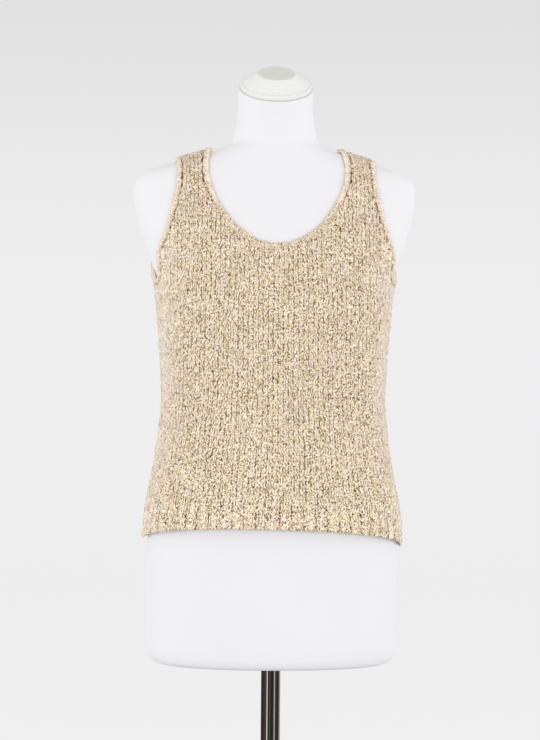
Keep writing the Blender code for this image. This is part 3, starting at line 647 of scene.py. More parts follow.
# ------------------------------------------------------- panels
def seam_distance(face, kind, u, rise):
    """Distance to a seam in millimetres, above 0 on the panel's side, and the
    nearest place on it."""
    s = SEAMS[(face, kind)]
    t = np.linspace(0, 1, 500)
    k = np.linspace(0, 1, len(s))
    curve = np.stack([np.interp(t, k, s[:, 0]), np.interp(t, k, s[:, 1])], axis=1)
    wide = LOW_TOTAL[face][-1] / MM
    high = float(np.interp(curve[-1, 0], ACROSS, HIGH[face][1])) / MM
    au = np.abs(u).ravel()
    ar = rise.ravel()
    d = np.hypot((au[:, None] - curve[None, :, 0]) * wide, (ar[:, None] - curve[None, :, 1]) * high)
    near = np.argmin(d, axis=1)
    dist = d[np.arange(len(near)), near]
    low = 0.0 if kind == "neck" else 1.0
    line = np.interp(ar, s[:, 1], s[:, 0], left=low)
    inside = (au - line > 0) if kind == "neck" else (line - au > 0)
    inside |= ar < s[0, 1]
    sign = np.where(inside, 1.0, -1.0)
    return (dist * sign).reshape(u.shape), curve[near].reshape(u.shape + (2,))


def patch(face, per_wale, per_course):
    """Grid of the panel, cut to its seams: places, stitch coordinates, quads."""
    half = HALF_WALES * per_wale
    us = np.arange(-half, half + 1) / half
    n_low, n_high = LOW_COURSES * per_course, HIGH_COURSES * per_course
    rows, cols = n_low + 1 + n_high, len(us)
    U = np.repeat(us[None, :], rows, axis=0)
    R = np.zeros((rows, cols))
    R[n_low:] = (np.arange(n_high + 1) / n_high)[:, None]
    cell = 1.5 * 4 / per_wale
    up = slice(n_low, rows)
    sn, near_n = seam_distance(face, "neck", U[up], R[up])
    sa, near_a = seam_distance(face, "arm", U[up], R[up])
    sd = np.minimum(sn, sa)
    ok = np.ones((rows, cols), bool)
    ok[up] = sd > -0.45 * cell
    ok[n_low] = True
    quad = ok[:-1, :-1] & ok[1:, :-1] & ok[:-1, 1:] & ok[1:, 1:]
    # drop quads that hang on by a corner or a single edge
    for _ in range(4):
        pad = np.pad(quad, 1)
        beside = (pad[1:-1, :-2].astype(int) + pad[1:-1, 2:] + pad[:-2, 1:-1] + pad[2:, 1:-1])
        quad &= beside >= 2
    touch = np.zeros((rows, cols), int)
    for di in (0, 1):
        for dj in (0, 1):
            touch[di:rows - 1 + di, dj:cols - 1 + dj] += quad
    full = np.full((rows, cols), 4)
    full[0], full[-1] = 2, 2
    full[:, 0], full[:, -1] = 2, 2
    full[0, 0] = full[0, -1] = full[-1, 0] = full[-1, -1] = 1
    rim = (touch > 0) & (touch < full)
    C = np.zeros((rows, cols))
    sign = np.where(U < 0, -1.0, 1.0)
    for i, j in zip(*np.nonzero(rim)):
        if i < n_low:
            continue
        k = i - n_low
        kind = "neck" if abs(sn[k, j]) < abs(sa[k, j]) else "arm"
        if i == rows - 1:
            u, r = SEAMS[(face, kind)][-1][0], 1.0
        elif abs(U[i, j]) > 0.99999:
            u, r = 1.0, SEAMS[(face, "arm")][0][1]
        elif abs(U[i, j]) < 1e-9:
            u, r = 0.0, SEAMS[(face, "neck")][0][1]
        else:
            u, r = (near_n if kind == "neck" else near_a)[k, j]
        U[i, j], R[i, j] = sign[i, j] * u, r
    # places
    P = np.zeros((rows, cols, 3))
    Ul = U[:n_low + 1]
    hem = hem_height(face, np.abs(Ul), np.where(Ul < 0, -1.0, 1.0)) + RIB_H + 0.02 * MM
    part = (np.arange(n_low + 1) / n_low)[:, None]
    z = hem + (UNDERARM_Z - hem) * part
    total = np.interp(z, LEVELS, LOW_TOTAL[face])
    Uin = np.where(np.abs(Ul) > 0.99999, np.sign(Ul) * (1 - SEAM_GAP / 2 / total), Ul)
    P[:n_low + 1] = low_point(face, Uin, z)
    Uh = U[n_low + 1:]
    P[n_low + 1:] = high_point(face, Uh, R[n_low + 1:])
    P[-1, :, 1] += face * SEAM_GAP / 2
    C[:n_low + 1] = LOW_COURSES * part
    C[n_low:] = LOW_COURSES + HIGH_COURSES * R[n_low:]
    # millimetres to the neck, arm and side seams
    dn = np.full((rows, cols), 99.0)
    da = np.full((rows, cols), 99.0)
    dn[up], da[up] = np.abs(sn), np.abs(sa)
    dn[rim & (dn < 3 * cell)] = 0.0
    da[rim & (da < 3 * cell)] = 0.0
    below = (np.arange(n_low) / per_course * COURSE / MM)[::-1]
    dn[:n_low] = below[:, None] + dn[n_low][None, :]
    da[:n_low] = np.hypot(below[:, None], da[n_low][None, :])
    ds = (1 - np.abs(U)) * LOW_TOTAL[face][-1] / MM
    ds[n_low + 1:] = 99.0
    return U, R, C, P, quad, touch > 0, (dn, da, ds)


def compact(quad, used):
    ids = np.full(used.shape, -1)
    ids[used] = np.arange(int(used.sum()))
    q = np.stack([ids[:-1, :-1], ids[:-1, 1:], ids[1:, 1:], ids[1:, :-1]], axis=-1)[quad]
    return q


SIDE_SHEEN_PAINT = 0.55             # painted sheen: the yarn is paler and calmer along the sides, standing in for fuzz catching light at grazing angles
YARN_Z = 0.37                # third coordinate of the yarn's pattern


def make_panel(name, face, mat, seed):
    U, R, C, P, quad, used, (dn, da, ds) = patch(face, PER_WALE, PER_COURSE)
    W = U * HALF_WALES
    N = np.zeros_like(P)
    N[used] = outward(P[used])
    T = np.gradient(P, axis=1)
    T /= np.maximum(np.linalg.norm(T, axis=2, keepdims=True), 1e-9)
    h, ridge = stitches(W, C, seed)
    h = h + 0.16 * (chance(np.round(W * 4), np.round(C * 4), seed + 11) - 0.5)
    # the seams pull the cloth in; the same mask darkens the colour along the seams: dotted stitching in the yarn's own
    # colour, and painted shade in the furrow
    strap = ramp(0.50, 0.68, R)
    dots = 0.16 + 1.04 * ramp(0.30, 0.60, run_along(np.zeros_like(R), R * 44.0, seed + 31))
    seam_pull_and_shade = np.maximum(np.exp(-(dn / 1.8) ** 2) * (0.10 + 0.90 * strap),
                       np.exp(-(da / 1.8) ** 2) * 0.90) * dots
    seam_pull_and_shade = np.clip(np.maximum(seam_pull_and_shade, np.exp(-(ds / 1.3) ** 2) * 0.4), 0, 1)
    # painted sheen: paler, calmer yarn toward the side seams, standing in for fuzz catching light at grazing angles
    side_sheen_paint = SIDE_SHEEN_PAINT * np.exp(-((1 - np.abs(U)) * LOW_TOTAL[face][-1] / MM / 44.0) ** 2)
    slack = 1.0 + 0.10 * (drift(W * 0.35, C * 0.22, seed + 12) - 0.5)
    off = (1.55 + 2.05 * h) * slack * (1 - 0.55 * seam_pull_and_shade) * MM
    calm = np.clip(np.minimum(np.minimum(dn, da), ds) / 3.0, 0, 1)
    calm[0] = 0.0
    outer = P + N * off[..., None] + T * (shift(W, C, seed) * calm)[..., None]
    quads = compact(quad, used)
    Ui, Ri, Ci, Pi, quad_i, used_i, _ = patch(face, 1, 1)
    quads_i = compact(quad_i, used_i)
    n_in = int(used_i.sum())
    knit = np.stack([W, C, np.full_like(W, YARN_Z)], axis=-1)[used]
    knit_i = np.stack([Ui * HALF_WALES, Ci, np.full_like(Ui, YARN_Z)], axis=-1)[used_i]
    flip = face > 0
    if flip:
        quads, quads_i = quads[:, ::-1], quads_i[:, ::-1]
    ob = shell(name, outer[used], quads, Pi[used_i], quads_i, mat,
               [("knit", knit), ("high", h[used]), ("seam", seam_pull_and_shade[used]), ("calm", side_sheen_paint[used])],
               {"knit": knit_i, "high": np.full(n_in, 0.45), "seam": np.zeros(n_in),
                "calm": np.zeros(n_in)})
    centres = {"p": outer[used], "n": N[used], "t": T[used], "h": h[used],
               "ridge": ridge[used], "seam_pull_and_shade": seam_pull_and_shade[used], "c": C[used], "w": W[used]}
    return ob, centres


# ------------------------------------------------------- ribbed hem
RIB_WALE = 6
RIB_ROWS = 40


def make_rib(name, face, mat, seed):
    def grid(per_wale, rows):
        half = HALF_WALES * per_wale
        us = np.arange(-half, half + 1) / half
        d = np.linspace(0, 1, rows + 1)
        U, D = np.meshgrid(us, d)
        hem = hem_height(face, np.abs(U), np.where(U < 0, -1.0, 1.0))
        return U, D, hem
    U, D, hem = grid(RIB_WALE, RIB_ROWS)
    W = U * HALF_WALES
    C = D * (RIB_H / COURSE) - RIB_H / COURSE
    up = D * RIB_H / MM
    # ridge to each second wale; it stands out less where it meets the body
    rib = 0.5 + 0.5 * np.cos(np.pi * (W + 0.5))
    rib = rib ** 0.85
    join = ramp(31.0, 36.0, up)
    h, ridge = stitches(W, C, seed)
    h = h + 0.16 * (chance(np.round(W * 6), np.round(C * 6), seed + 11) - 0.5)
    height = (1.35 + 1.75 * h * 0.85 + 1.35 * (rib - 0.5) + 0.35) * (1 - join) + (1.55 + 2.05 * h) * join
    foot = np.sqrt(np.clip(1 - (1 - np.clip(up / 2.6, 0, 1)) ** 2, 0, 1))
    drop = -0.9 * (rib - 0.35) * np.exp(-(up / 5.0) ** 2) * MM
    # the side seam pulls the rib in and darkens it with painted shade
    seam_pull_and_shade = np.exp(-(((1 - np.abs(U)) * LOW_TOTAL[face][0] / MM) / 1.3) ** 2) * 0.5
    off = (0.45 + (height - 0.45) * foot) * (1 - 0.5 * seam_pull_and_shade) * MM
    z = hem + D * RIB_H + drop
    total = np.interp(z, LEVELS, LOW_TOTAL[face])
    Uin = np.where(np.abs(U) > 0.99999, np.sign(U) * (1 - SEAM_GAP / 2 / total), U)
    P = low_point(face, Uin, z)
    N = outward(P)
    T = np.gradient(P, axis=1)
    T /= np.linalg.norm(T, axis=2, keepdims=True)
    calm = np.clip((1 - np.abs(U)) * 60, 0, 1) * (1 - ramp(34.5, 36.0, up))
    outer = P + N * off[..., None] + T * (shift(W, C, seed) * calm * 0.8)[..., None]
    rows, cols = U.shape
    ids = np.arange(rows * cols).reshape(rows, cols)
    quads = np.stack([ids[:-1, :-1], ids[:-1, 1:], ids[1:, 1:], ids[1:, :-1]], axis=-1).reshape(-1, 4)
    Ui, Di, hem_i = grid(1, 6)
    zi = hem_i + Di * RIB_H
    zi[0] += 0.3 * MM
    toti = np.interp(zi, LEVELS, LOW_TOTAL[face])
    Uii = np.where(np.abs(Ui) > 0.99999, np.sign(Ui) * (1 - SEAM_GAP / 2 / toti), Ui)
    Pi = low_point(face, Uii, zi)
    ri, ci = Ui.shape
    idi = np.arange(ri * ci).reshape(ri, ci)
    quads_i = np.stack([idi[:-1, :-1], idi[:-1, 1:], idi[1:, 1:], idi[1:, :-1]], axis=-1).reshape(-1, 4)
    if face > 0:
        quads, quads_i = quads[:, ::-1], quads_i[:, ::-1]
    # the grooves between the ribs are darker in tone: painted shade in them, as in the gaps between wales
    high = (h * 0.8 + 0.46 * (rib - 0.45)) * (1 - join) + h * join
    knit = np.stack([W, C, np.full_like(W, YARN_Z)], axis=-1).reshape(-1, 3)
    knit_i = np.stack([Ui * HALF_WALES, Di * RIB_H / COURSE - RIB_H / COURSE,
                       np.full_like(Ui, YARN_Z)], axis=-1).reshape(-1, 3)
    n_in = ri * ci
    # painted sheen toward the side seams, as on the panels
    side_sheen_paint = SIDE_SHEEN_PAINT * np.exp(-((1 - np.abs(U)) * LOW_TOTAL[face][-1] / MM / 44.0) ** 2)
    ob = shell(name, outer.reshape(-1, 3), quads, Pi.reshape(-1, 3), quads_i, mat,
               [("knit", knit), ("high", high.ravel()), ("seam", seam_pull_and_shade.ravel()), ("calm", side_sheen_paint.ravel())],
               {"knit": knit_i, "high": np.full(n_in, 0.45), "seam": np.zeros(n_in),
                "calm": np.zeros(n_in)})
    centres = {"p": outer.reshape(-1, 3), "n": N.reshape(-1, 3), "t": T.reshape(-1, 3),
               "h": h.ravel(), "ridge": ridge.ravel(), "seam_pull_and_shade": seam_pull_and_shade.ravel(), "c": C.ravel(),
               "w": W.ravel()}
    return ob, centres


# ------------------------------------------------------- neck and armhole bands
BAND_POINTS = 22
BAND_SNUG = 1.5 * MM         # the bands reach this far in towards the form


def seam_line(kind, spacing=0.9 * MM):
    """Points along half (neck) or all (armhole) of a seam loop, evenly spaced."""
    parts = []
    for face in (-1, 1):
        s = SEAMS[(face, kind)]
        k = np.linspace(0, 1, len(s))
        t = np.linspace(0, 1, 600)
        q = high_point(face, np.interp(t, k, s[:, 0]), np.interp(t, k, s[:, 1]))
        parts.append(q if face < 0 else q[::-1])
    line = np.concatenate([parts[0], parts[1][1:]])
    run = np.concatenate([[0], np.cumsum(np.linalg.norm(np.diff(line, axis=0), axis=1))])
    # space the points evenly; band_shape eases the corners where front and back meet at the shoulder and underarm
    n = int(round(run[-1] / spacing))
    t = np.linspace(0, run[-1], n + 1)
    return np.stack([np.interp(t, run, line[:, k]) for k in range(3)], axis=1)


def ease(points, times, closed):
    p = points.copy()
    for _ in range(times):
        if closed:
            p = 0.25 * np.roll(p, 1, axis=0) + 0.5 * p + 0.25 * np.roll(p, -1, axis=0)
        else:
            p[1:-1] = 0.25 * p[:-2] + 0.5 * p[1:-1] + 0.25 * p[2:]
    return p


def band_shape(kind):
    """Closed seam loop with its normals and the direction away from the opening."""
    line = seam_line(kind)
    if kind == "neck":
        line[0, 0] = line[-1, 0] = 0.0
        mirror = line[::-1][1:-1] * np.array([-1.0, 1.0, 1.0])
        line = np.concatenate([line, mirror])
    else:
        line = line[:-1]
    line = settle(ease(line, 6, True))
    nor = outward(line)
    nor = ease(nor, 4, True)
    nor /= np.linalg.norm(nor, axis=1, keepdims=True)
    tan = np.roll(line, -1, axis=0) - np.roll(line, 1, axis=0)
    tan /= np.linalg.norm(tan, axis=1, keepdims=True)
    away = np.cross(nor, tan)
    away /= np.linalg.norm(away, axis=1, keepdims=True)
    centre = line.mean(axis=0)
    if np.sum(away * (line - centre)) < 0:
        away = -away
    away = ease(away, 4, True)
    away /= np.linalg.norm(away, axis=1, keepdims=True)
    return line, nor, away, tan


def make_band(name, kind, hand, mat, seed):
    width = NECKBAND_W if kind == "neck" else ARMBAND_W
    line, nor, away, tan = band_shape(kind)
    m = len(line)
    edge = settle(line - away * width)
    n_edge = outward(edge)
    near = line - away * SEAM_GAP / 2
    run = np.arange(m) * 0.9
    q = np.linspace(0, 2 * np.pi, BAND_POINTS, endpoint=False)
    # section: flat on the cloth side, a soft roll on the outside, fuller at the free edge
    a = 0.5 - 0.5 * np.cos(q)
    roll = np.where(q <= np.pi, np.abs(np.sin(q)) ** 0.55, 0.0)
    roll = roll * (0.80 + 0.20 * np.sin(np.clip(a, 0, 1) * np.pi))
    under = -BAND_SNUG * np.sin(np.clip(q - np.pi, 0, np.pi)) ** 0.6
    pts = np.zeros((m, BAND_POINTS, 3))
    high = np.zeros((m, BAND_POINTS))
    knit = np.zeros((m, BAND_POINTS, 3))
    seam_pull_and_shade = np.zeros((m, BAND_POINTS))
    calm = np.zeros((m, BAND_POINTS))
    # on the straps and round the armholes the band is a roll of its own, smooth
    # and pale beside a dotted seam; along the scoop it lies flush with the front
    own = ramp(0.908, 0.950, line[:, 2]) if kind == "neck" else np.full(m, 0.75)
    dots = 0.16 + 1.04 * ramp(0.30, 0.60, run_along(np.zeros(m), run / 4.1, seed + 31))
    snug = np.ones(m) if kind == "neck" else 1.0 + 0.5 * (1 - ramp(0.848, 0.880, line[:, 2]))
    slow = drift(run / 11.0, np.zeros(m), seed + 5) - 0.5
    period = 3.4
    for k in range(BAND_POINTS):
        w = run / (2 * period) + a[k] * 0.35
        c = np.full(m, a[k] * width / MM / 3.3)
        h, ridge = stitches(w, c + 0.2, seed)
        h = h + 0.18 * (chance(np.arange(m), np.full(m, k), seed + 11) - 0.5)
        n = nor * (1 - a[k]) + n_edge * a[k]
        n /= np.linalg.norm(n, axis=1, keepdims=True)
        flush = (1 - own) * 0.86 if k < BAND_POINTS // 4 else 0.0
        up = np.maximum(np.maximum(roll[k], 0.10 if k == 0 else 0.0), flush) * BAND_T * (1 + 0.10 * slow)
        bump = (h - 0.55) * (2.1 - 0.5 * own) * (1 - 0.45 * own * a[k]) * MM * (1.0 if 0 < k < BAND_POINTS // 2 else 0.1)
        wide = near + (edge - near) * a[k]
        if q[k] <= np.pi and a[k] > 0.5:
            bump_out = (h - 0.5) * 0.5 * MM * (a[k] - 0.5) * 2
            wide = wide - away * bump_out[:, None]
        pts[:, k] = wide + n * (np.maximum(up + bump, 0.05 * MM) + under[k] * snug)[:, None]
        high[:, k] = h
        knit[:, k] = np.stack([w, c, np.full(m, YARN_Z)], axis=1)
        # dark along the seam beside the band: dotted stitching, and painted shade in the furrow
        seam_pull_and_shade[:, k] = np.clip(np.exp(-(a[k] * width / MM / 1.3) ** 2) * own * dots, 0, 1)
        calm[:, k] = own * (0.15 + 0.75 * a[k] ** 1.5)
    pts[..., 0] *= hand
    ids = np.arange(m * BAND_POINTS).reshape(m, BAND_POINTS)
    nxt = np.roll(ids, -1, axis=0)
    quads = np.stack([ids, np.roll(ids, -1, axis=1), np.roll(nxt, -1, axis=1), nxt], axis=-1)
    ob = new_mesh(name, pts.reshape(-1, 3), quads.reshape(-1, 4).tolist(), mat,
                  [("knit", knit.reshape(-1, 3)), ("high", high.ravel()), ("seam", seam_pull_and_shade.ravel()),
                   ("calm", calm.ravel())])
    outside = (q <= np.pi) & (np.arange(BAND_POINTS) > 1)
    nn = np.repeat(nor[:, None], BAND_POINTS, axis=1)[:, outside].reshape(-1, 3)
    tt = np.repeat(tan[:, None], BAND_POINTS, axis=1)[:, outside].reshape(-1, 3)
    pp = pts[:, outside].reshape(-1, 3)
    nn, tt = nn * np.array([hand, 1, 1]), tt * np.array([hand, 1, 1])
    centres = {"p": pp, "n": nn, "t": tt, "h": high[:, outside].ravel(),
               "ridge": np.ones(len(pp)), "seam_pull_and_shade": seam_pull_and_shade[:, outside].ravel(),
               "c": knit[:, outside, 1].ravel(), "w": knit[:, outside, 0].ravel()}
    return ob, centres


# ------------------------------------------------------- curls of yarn on top
CURL_STEPS = 5


def make_curls(name, centres, count, mat, seed, upright=0.75):
    """Short open loops of yarn, half sunk in the stitches."""
    rng = np.random.default_rng(seed)
    weight = (0.25 + centres["h"].clip(0, 1.2)) * (1 - 0.8 * centres["seam_pull_and_shade"])
    weight = np.maximum(weight, 0)
    pick = rng.choice(len(weight), size=count, replace=False, p=weight / weight.sum())
    p, n, t = centres["p"][pick], centres["n"][pick], centres["t"][pick]
    n = n / np.linalg.norm(n, axis=1, keepdims=True)
    t = t - n * np.sum(t * n, axis=1, keepdims=True)
    t /= np.linalg.norm(t, axis=1, keepdims=True)
    v = np.cross(n, t)
    turn = rng.normal(0, 1 - upright, count) * 1.8
    long_ax = v * np.cos(turn)[:, None] + t * np.sin(turn)[:, None]
    short_ax = -v * np.sin(turn)[:, None] + t * np.cos(turn)[:, None]
    tilt = rng.uniform(-0.7, 0.7, count)
    short_ax = short_ax * np.cos(tilt)[:, None] + n * np.sin(tilt)[:, None]
    plane = np.cross(long_ax, short_ax)
    size = rng.uniform(0.75, 1.35, count)
    ra, rb = 1.75 * MM * size, 0.85 * MM * size
    thick = rng.uniform(0.34, 0.52, count) * MM
    a0 = rng.uniform(0, 2 * np.pi, count)
    sweep = rng.uniform(1.15, 1.7, count) * np.pi
    lift = rng.uniform(-0.15, 0.35, count) * MM
    verts = np.zeros((count, CURL_STEPS + 1, 3, 3))
    for i in range(CURL_STEPS + 1):
        a = a0 + sweep * i / CURL_STEPS
        ring = long_ax * (ra * np.cos(a))[:, None] + short_ax * (rb * np.sin(a))[:, None]
        radial = long_ax * np.cos(a)[:, None] + short_ax * np.sin(a)[:, None]
        at = p + ring + n * lift[:, None]
        taper = 0.62 if i in (0, CURL_STEPS) else 1.0
        for k in range(3):
            b = 2 * np.pi * k / 3
            verts[:, i, k] = at + (radial * np.cos(b) + plane * np.sin(b)) * (thick * taper)[:, None]
    per = (CURL_STEPS + 1) * 3
    faces = []
    for i in range(CURL_STEPS):
        for k in range(3):
            a, b = i * 3 + k, i * 3 + (k + 1) % 3
            faces.append((a, b, b + 3, a + 3))
    quads = np.array(faces)[None] + (np.arange(count) * per)[:, None, None]
    ends = np.array([(0, 2, 1), tuple(per - 3 + k for k in (0, 1, 2))])[None] + (np.arange(count) * per)[:, None, None]
    all_faces = quads.reshape(-1, 4).tolist() + ends.reshape(-1, 3).tolist()
    tone = np.repeat(rng.uniform(0, 1, count), per)
    knit = np.repeat(np.stack([centres["w"][pick], centres["c"][pick], np.zeros(count)], axis=1), per, axis=0)
    return new_mesh(name, verts.reshape(-1, 3), all_faces, mat, [("tone", tone), ("knit", knit)])


# ------------------------------------------------------- materials
def nodes_of(name, slot_colour):
    m = bpy.data.materials.new(name)
    m.use_nodes = True
    m.diffuse_color = (*slot_colour, 1.0)
    nt = m.node_tree
    return m, nt, nt.nodes["Principled BSDF"]


def add(nt, kind, **values):
    n = nt.nodes.new(kind)
    for k, v in values.items():
        setattr(n, k, v)
    return n


def math_node(nt, op, a, b=None, c=None, clamp=False):
    n = add(nt, "ShaderNodeMath", operation=op, use_clamp=clamp)
    for i, v in enumerate((a, b, c)):
        if v is None:
            continue
        if isinstance(v, (int, float)):
            n.inputs[i].default_value = v
        else:
            nt.links.new(v, n.inputs[i])
    return n.outputs[0]


def scaled(nt, vector, by):
    n = add(nt, "ShaderNodeMapping")
    nt.links.new(vector, n.inputs["Vector"])
    n.inputs["Scale"].default_value = by
    return n.outputs["Vector"]


def noise(nt, vector, scale, detail=2.0, rough=0.5, distortion=0.0):
    n = add(nt, "ShaderNodeTexNoise")
    n.inputs["Scale"].default_value = scale
    n.inputs["Detail"].default_value = detail
    n.inputs["Roughness"].default_value = rough
    n.inputs["Distortion"].default_value = distortion
    nt.links.new(vector, n.inputs["Vector"])
    return n.outputs["Fac"]


def colour_ramp(nt, value, stops, interpolation="LINEAR"):
    n = add(nt, "ShaderNodeValToRGB")
    n.color_ramp.interpolation = interpolation
    el = n.color_ramp.elements
    while len(el) < len(stops):
        el.new(0.5)
    for e, (place, colour) in zip(el, stops):
        e.position = place
        e.color = (*colour, 1.0)
    nt.links.new(value, n.inputs["Fac"])
    return n.outputs["Color"]


def mixed(nt, value, a, b, blend="MIX"):
    """Two colours mixed; each is a socket or a plain colour."""
    n = add(nt, "ShaderNodeMix", data_type="RGBA", blend_type=blend)
    by = {i.identifier: i for i in n.inputs}
    for key, v in (("Factor_Float", value), ("A_Color", a), ("B_Color", b)):
        if isinstance(v, (int, float)):
            by[key].default_value = v
        elif isinstance(v, tuple):
            by[key].default_value = (*v, 1.0)
        else:
            nt.links.new(v, by[key])
    return next(o for o in n.outputs if o.identifier == "Result_Color")


def attribute(nt, name, which):
    n = add(nt, "ShaderNodeAttribute", attribute_name=name)
    return n.outputs[which]


YARN = (
    (0.00, (0.075, 0.040, 0.012)),
    (0.15, (0.210, 0.118, 0.040)),
    (0.32, (0.495, 0.335, 0.160)),
    (0.50, (0.800, 0.600, 0.360)),
    (0.72, (0.950, 0.780, 0.535)),
    (0.90, (0.985, 0.868, 0.690)),
    (1.00, (0.990, 0.920, 0.800)),
)
CURL_YARN = ((0.0, (0.46, 0.33, 0.20)), (0.22, (0.75, 0.59, 0.40)), (0.50, (0.93, 0.78, 0.57)),
             (1.0, (0.985, 0.925, 0.82)))


def yarn_tint(nt, place, colour):
    """Slow change from a yellower to a pinker cream, as in a mixed yarn."""
    slow = noise(nt, place, 62.0, 2.0, 0.6)
    tint = colour_ramp(nt, slow, ((0.36, (1.0, 0.982, 0.915)), (0.52, (1.0, 0.975, 0.955)),
                                  (0.66, (1.0, 0.960, 0.990))))
    return mixed(nt, 1.0, colour, tint, "MULTIPLY")


def step_between(nt, value, lo, hi):
    """0 below lo, 1 above hi, smooth between; lo above hi turns it round."""
    n = add(nt, "ShaderNodeMapRange", interpolation_type="SMOOTHSTEP")
    nt.links.new(value, n.inputs["Value"])
    n.inputs["From Min"].default_value = min(lo, hi)
    n.inputs["From Max"].default_value = max(lo, hi)
    n.inputs["To Min"].default_value = 0.0 if lo < hi else 1.0
    n.inputs["To Max"].default_value = 1.0 if lo < hi else 0.0
    return n.outputs["Result"]


def yarn_material(name, level=0.0, line_from=0.0, line_every=1.0, line_depth=0.54):
    """Curled yarn: pale tops, and gaps between the wales broken into dashes, darkened partly for the brown core yarn
    and partly as painted shade.
    """
    m, nt, bsdf = nodes_of(name, (0.80, 0.66, 0.49))
    knit = attribute(nt, "knit", "Vector")
    high = attribute(nt, "high", "Fac")
    seam = attribute(nt, "seam", "Fac")
    calm = attribute(nt, "calm", "Fac")
    place = add(nt, "ShaderNodeTexCoord").outputs["Object"]
    split = add(nt, "ShaderNodeSeparateXYZ")
    nt.links.new(knit, split.inputs[0])
    # short strands of the curled yarn, mostly upright
    strands = noise(nt, scaled(nt, knit, (7.4, 2.7, 1.0)), 1.0, 1.0, 0.5, 0.1)
    curls = noise(nt, scaled(nt, place, (1.45, 1.45, 0.62)), 680.0, 0.6, 0.5, 0.1)
    blots = noise(nt, place, 120.0, 2.0, 0.5)
    # gaps between the wales: dark for the brown core yarn and for painted shade in them
    wander = noise(nt, scaled(nt, knit, (0.8, 1.3, 1.0)), 1.0, 1.0, 0.5)
    w = math_node(nt, "MULTIPLY_ADD", math_node(nt, "SUBTRACT", wander, 0.5), 0.70, split.outputs["X"])
    off_line = math_node(nt, "PINGPONG", math_node(nt, "SUBTRACT", w, line_from), line_every / 2)
    line = step_between(nt, off_line, 0.16, 0.03)
    dash = step_between(nt, noise(nt, scaled(nt, knit, (1.25, 1.45, 1.0)), 1.0, 1.0, 0.5), 0.46, 0.55)
    line = math_node(nt, "MULTIPLY", line, math_node(nt, "MULTIPLY_ADD", dash, 0.86, 0.14))
    # and the slighter ones between the two legs of each stitch, darkened the same way
    off_leg = math_node(nt, "PINGPONG", w, 0.25)
    leg = step_between(nt, off_leg, 0.13, 0.03)
    leg_dash = step_between(nt, noise(nt, scaled(nt, knit, (2.3, 1.7, 1.0)), 1.0, 1.0, 0.5), 0.44, 0.56)
    leg = math_node(nt, "MULTIPLY", leg, leg_dash)
    # small brown specks where the curls leave holes: the brown core yarn, deepened as painted shade
    specks = step_between(nt, strands, 0.46, 0.38)
    holes = step_between(nt, curls, 0.45, 0.37)
    grain = math_node(nt, "MULTIPLY", math_node(nt, "SUBTRACT", strands, 0.5), 2.2)
    grain = math_node(nt, "MULTIPLY_ADD", math_node(nt, "SUBTRACT", curls, 0.5), 1.3, grain)
    grain = math_node(nt, "MULTIPLY_ADD", specks, -0.58, grain)
    grain = math_node(nt, "MULTIPLY_ADD", holes, -0.32, grain)
    grain = math_node(nt, "MULTIPLY_ADD", line, -line_depth, grain)
    grain = math_node(nt, "MULTIPLY_ADD", leg, -0.40, grain)
    # painted sheen: toward the side seams the grain's contrast is lowered
    grain = math_node(nt, "MULTIPLY", grain, math_node(nt, "MULTIPLY_ADD", calm, -0.62, 1.0))
    # painted sheen: toward the side seams the relief's light and dark are weakened too
    even = math_node(nt, "MULTIPLY_ADD", calm, -0.65, 1.0)
    # the relief's height sets the tone: low gaps darker, partly the brown core yarn and partly painted shade
    v = math_node(nt, "MULTIPLY_ADD", math_node(nt, "MULTIPLY", math_node(nt, "SUBTRACT", high, 0.55), 0.42),
                  even, grain)
    v = math_node(nt, "MULTIPLY_ADD", math_node(nt, "SUBTRACT", blots, 0.5), 0.16, v)
    # painted sheen: brighter toward the side seams
    v = math_node(nt, "MULTIPLY_ADD", calm, 0.14, v)
    # the seams: dotted stitching in its own dark colour, and painted shade in the furrow beside them
    v = math_node(nt, "MULTIPLY_ADD", seam, -1.0, v)
    v = math_node(nt, "ADD", v, 0.95 + level, clamp=True)
    tinted = yarn_tint(nt, place, colour_ramp(nt, v, YARN))
    # painted sheen: toward the side seams the colour is mixed with a pale rose-grey, standing in for fuzz that catches
    # light at grazing angles; on the bands the same mix pales the roll toward its free edge
    pale_mix = math_node(nt, "MULTIPLY", calm, 0.50)
    nt.links.new(mixed(nt, pale_mix, tinted, (0.955, 0.890, 0.840)), bsdf.inputs["Base Color"])
    bsdf.inputs["Roughness"].default_value = 0.92
    bsdf.inputs["Specular IOR Level"].default_value = 0.10
    bsdf.inputs["Sheen Weight"].default_value = 1.0
    bsdf.inputs["Sheen Roughness"].default_value = 0.28
    bsdf.inputs["Sheen Tint"].default_value = (1.0, 0.96, 0.93, 1.0)
    fine = math_node(nt, "MULTIPLY_ADD", strands, 0.9, math_node(nt, "MULTIPLY", curls, 0.8))
    fine = math_node(nt, "MULTIPLY_ADD", line, -0.5, fine)
    bump = add(nt, "ShaderNodeBump")
    bump.inputs["Strength"].default_value = 0.85
    bump.inputs["Distance"].default_value = 0.9 * MM
    nt.links.new(fine, bump.inputs["Height"])
    nt.links.new(bump.outputs["Normal"], bsdf.inputs["Normal"])
    return m


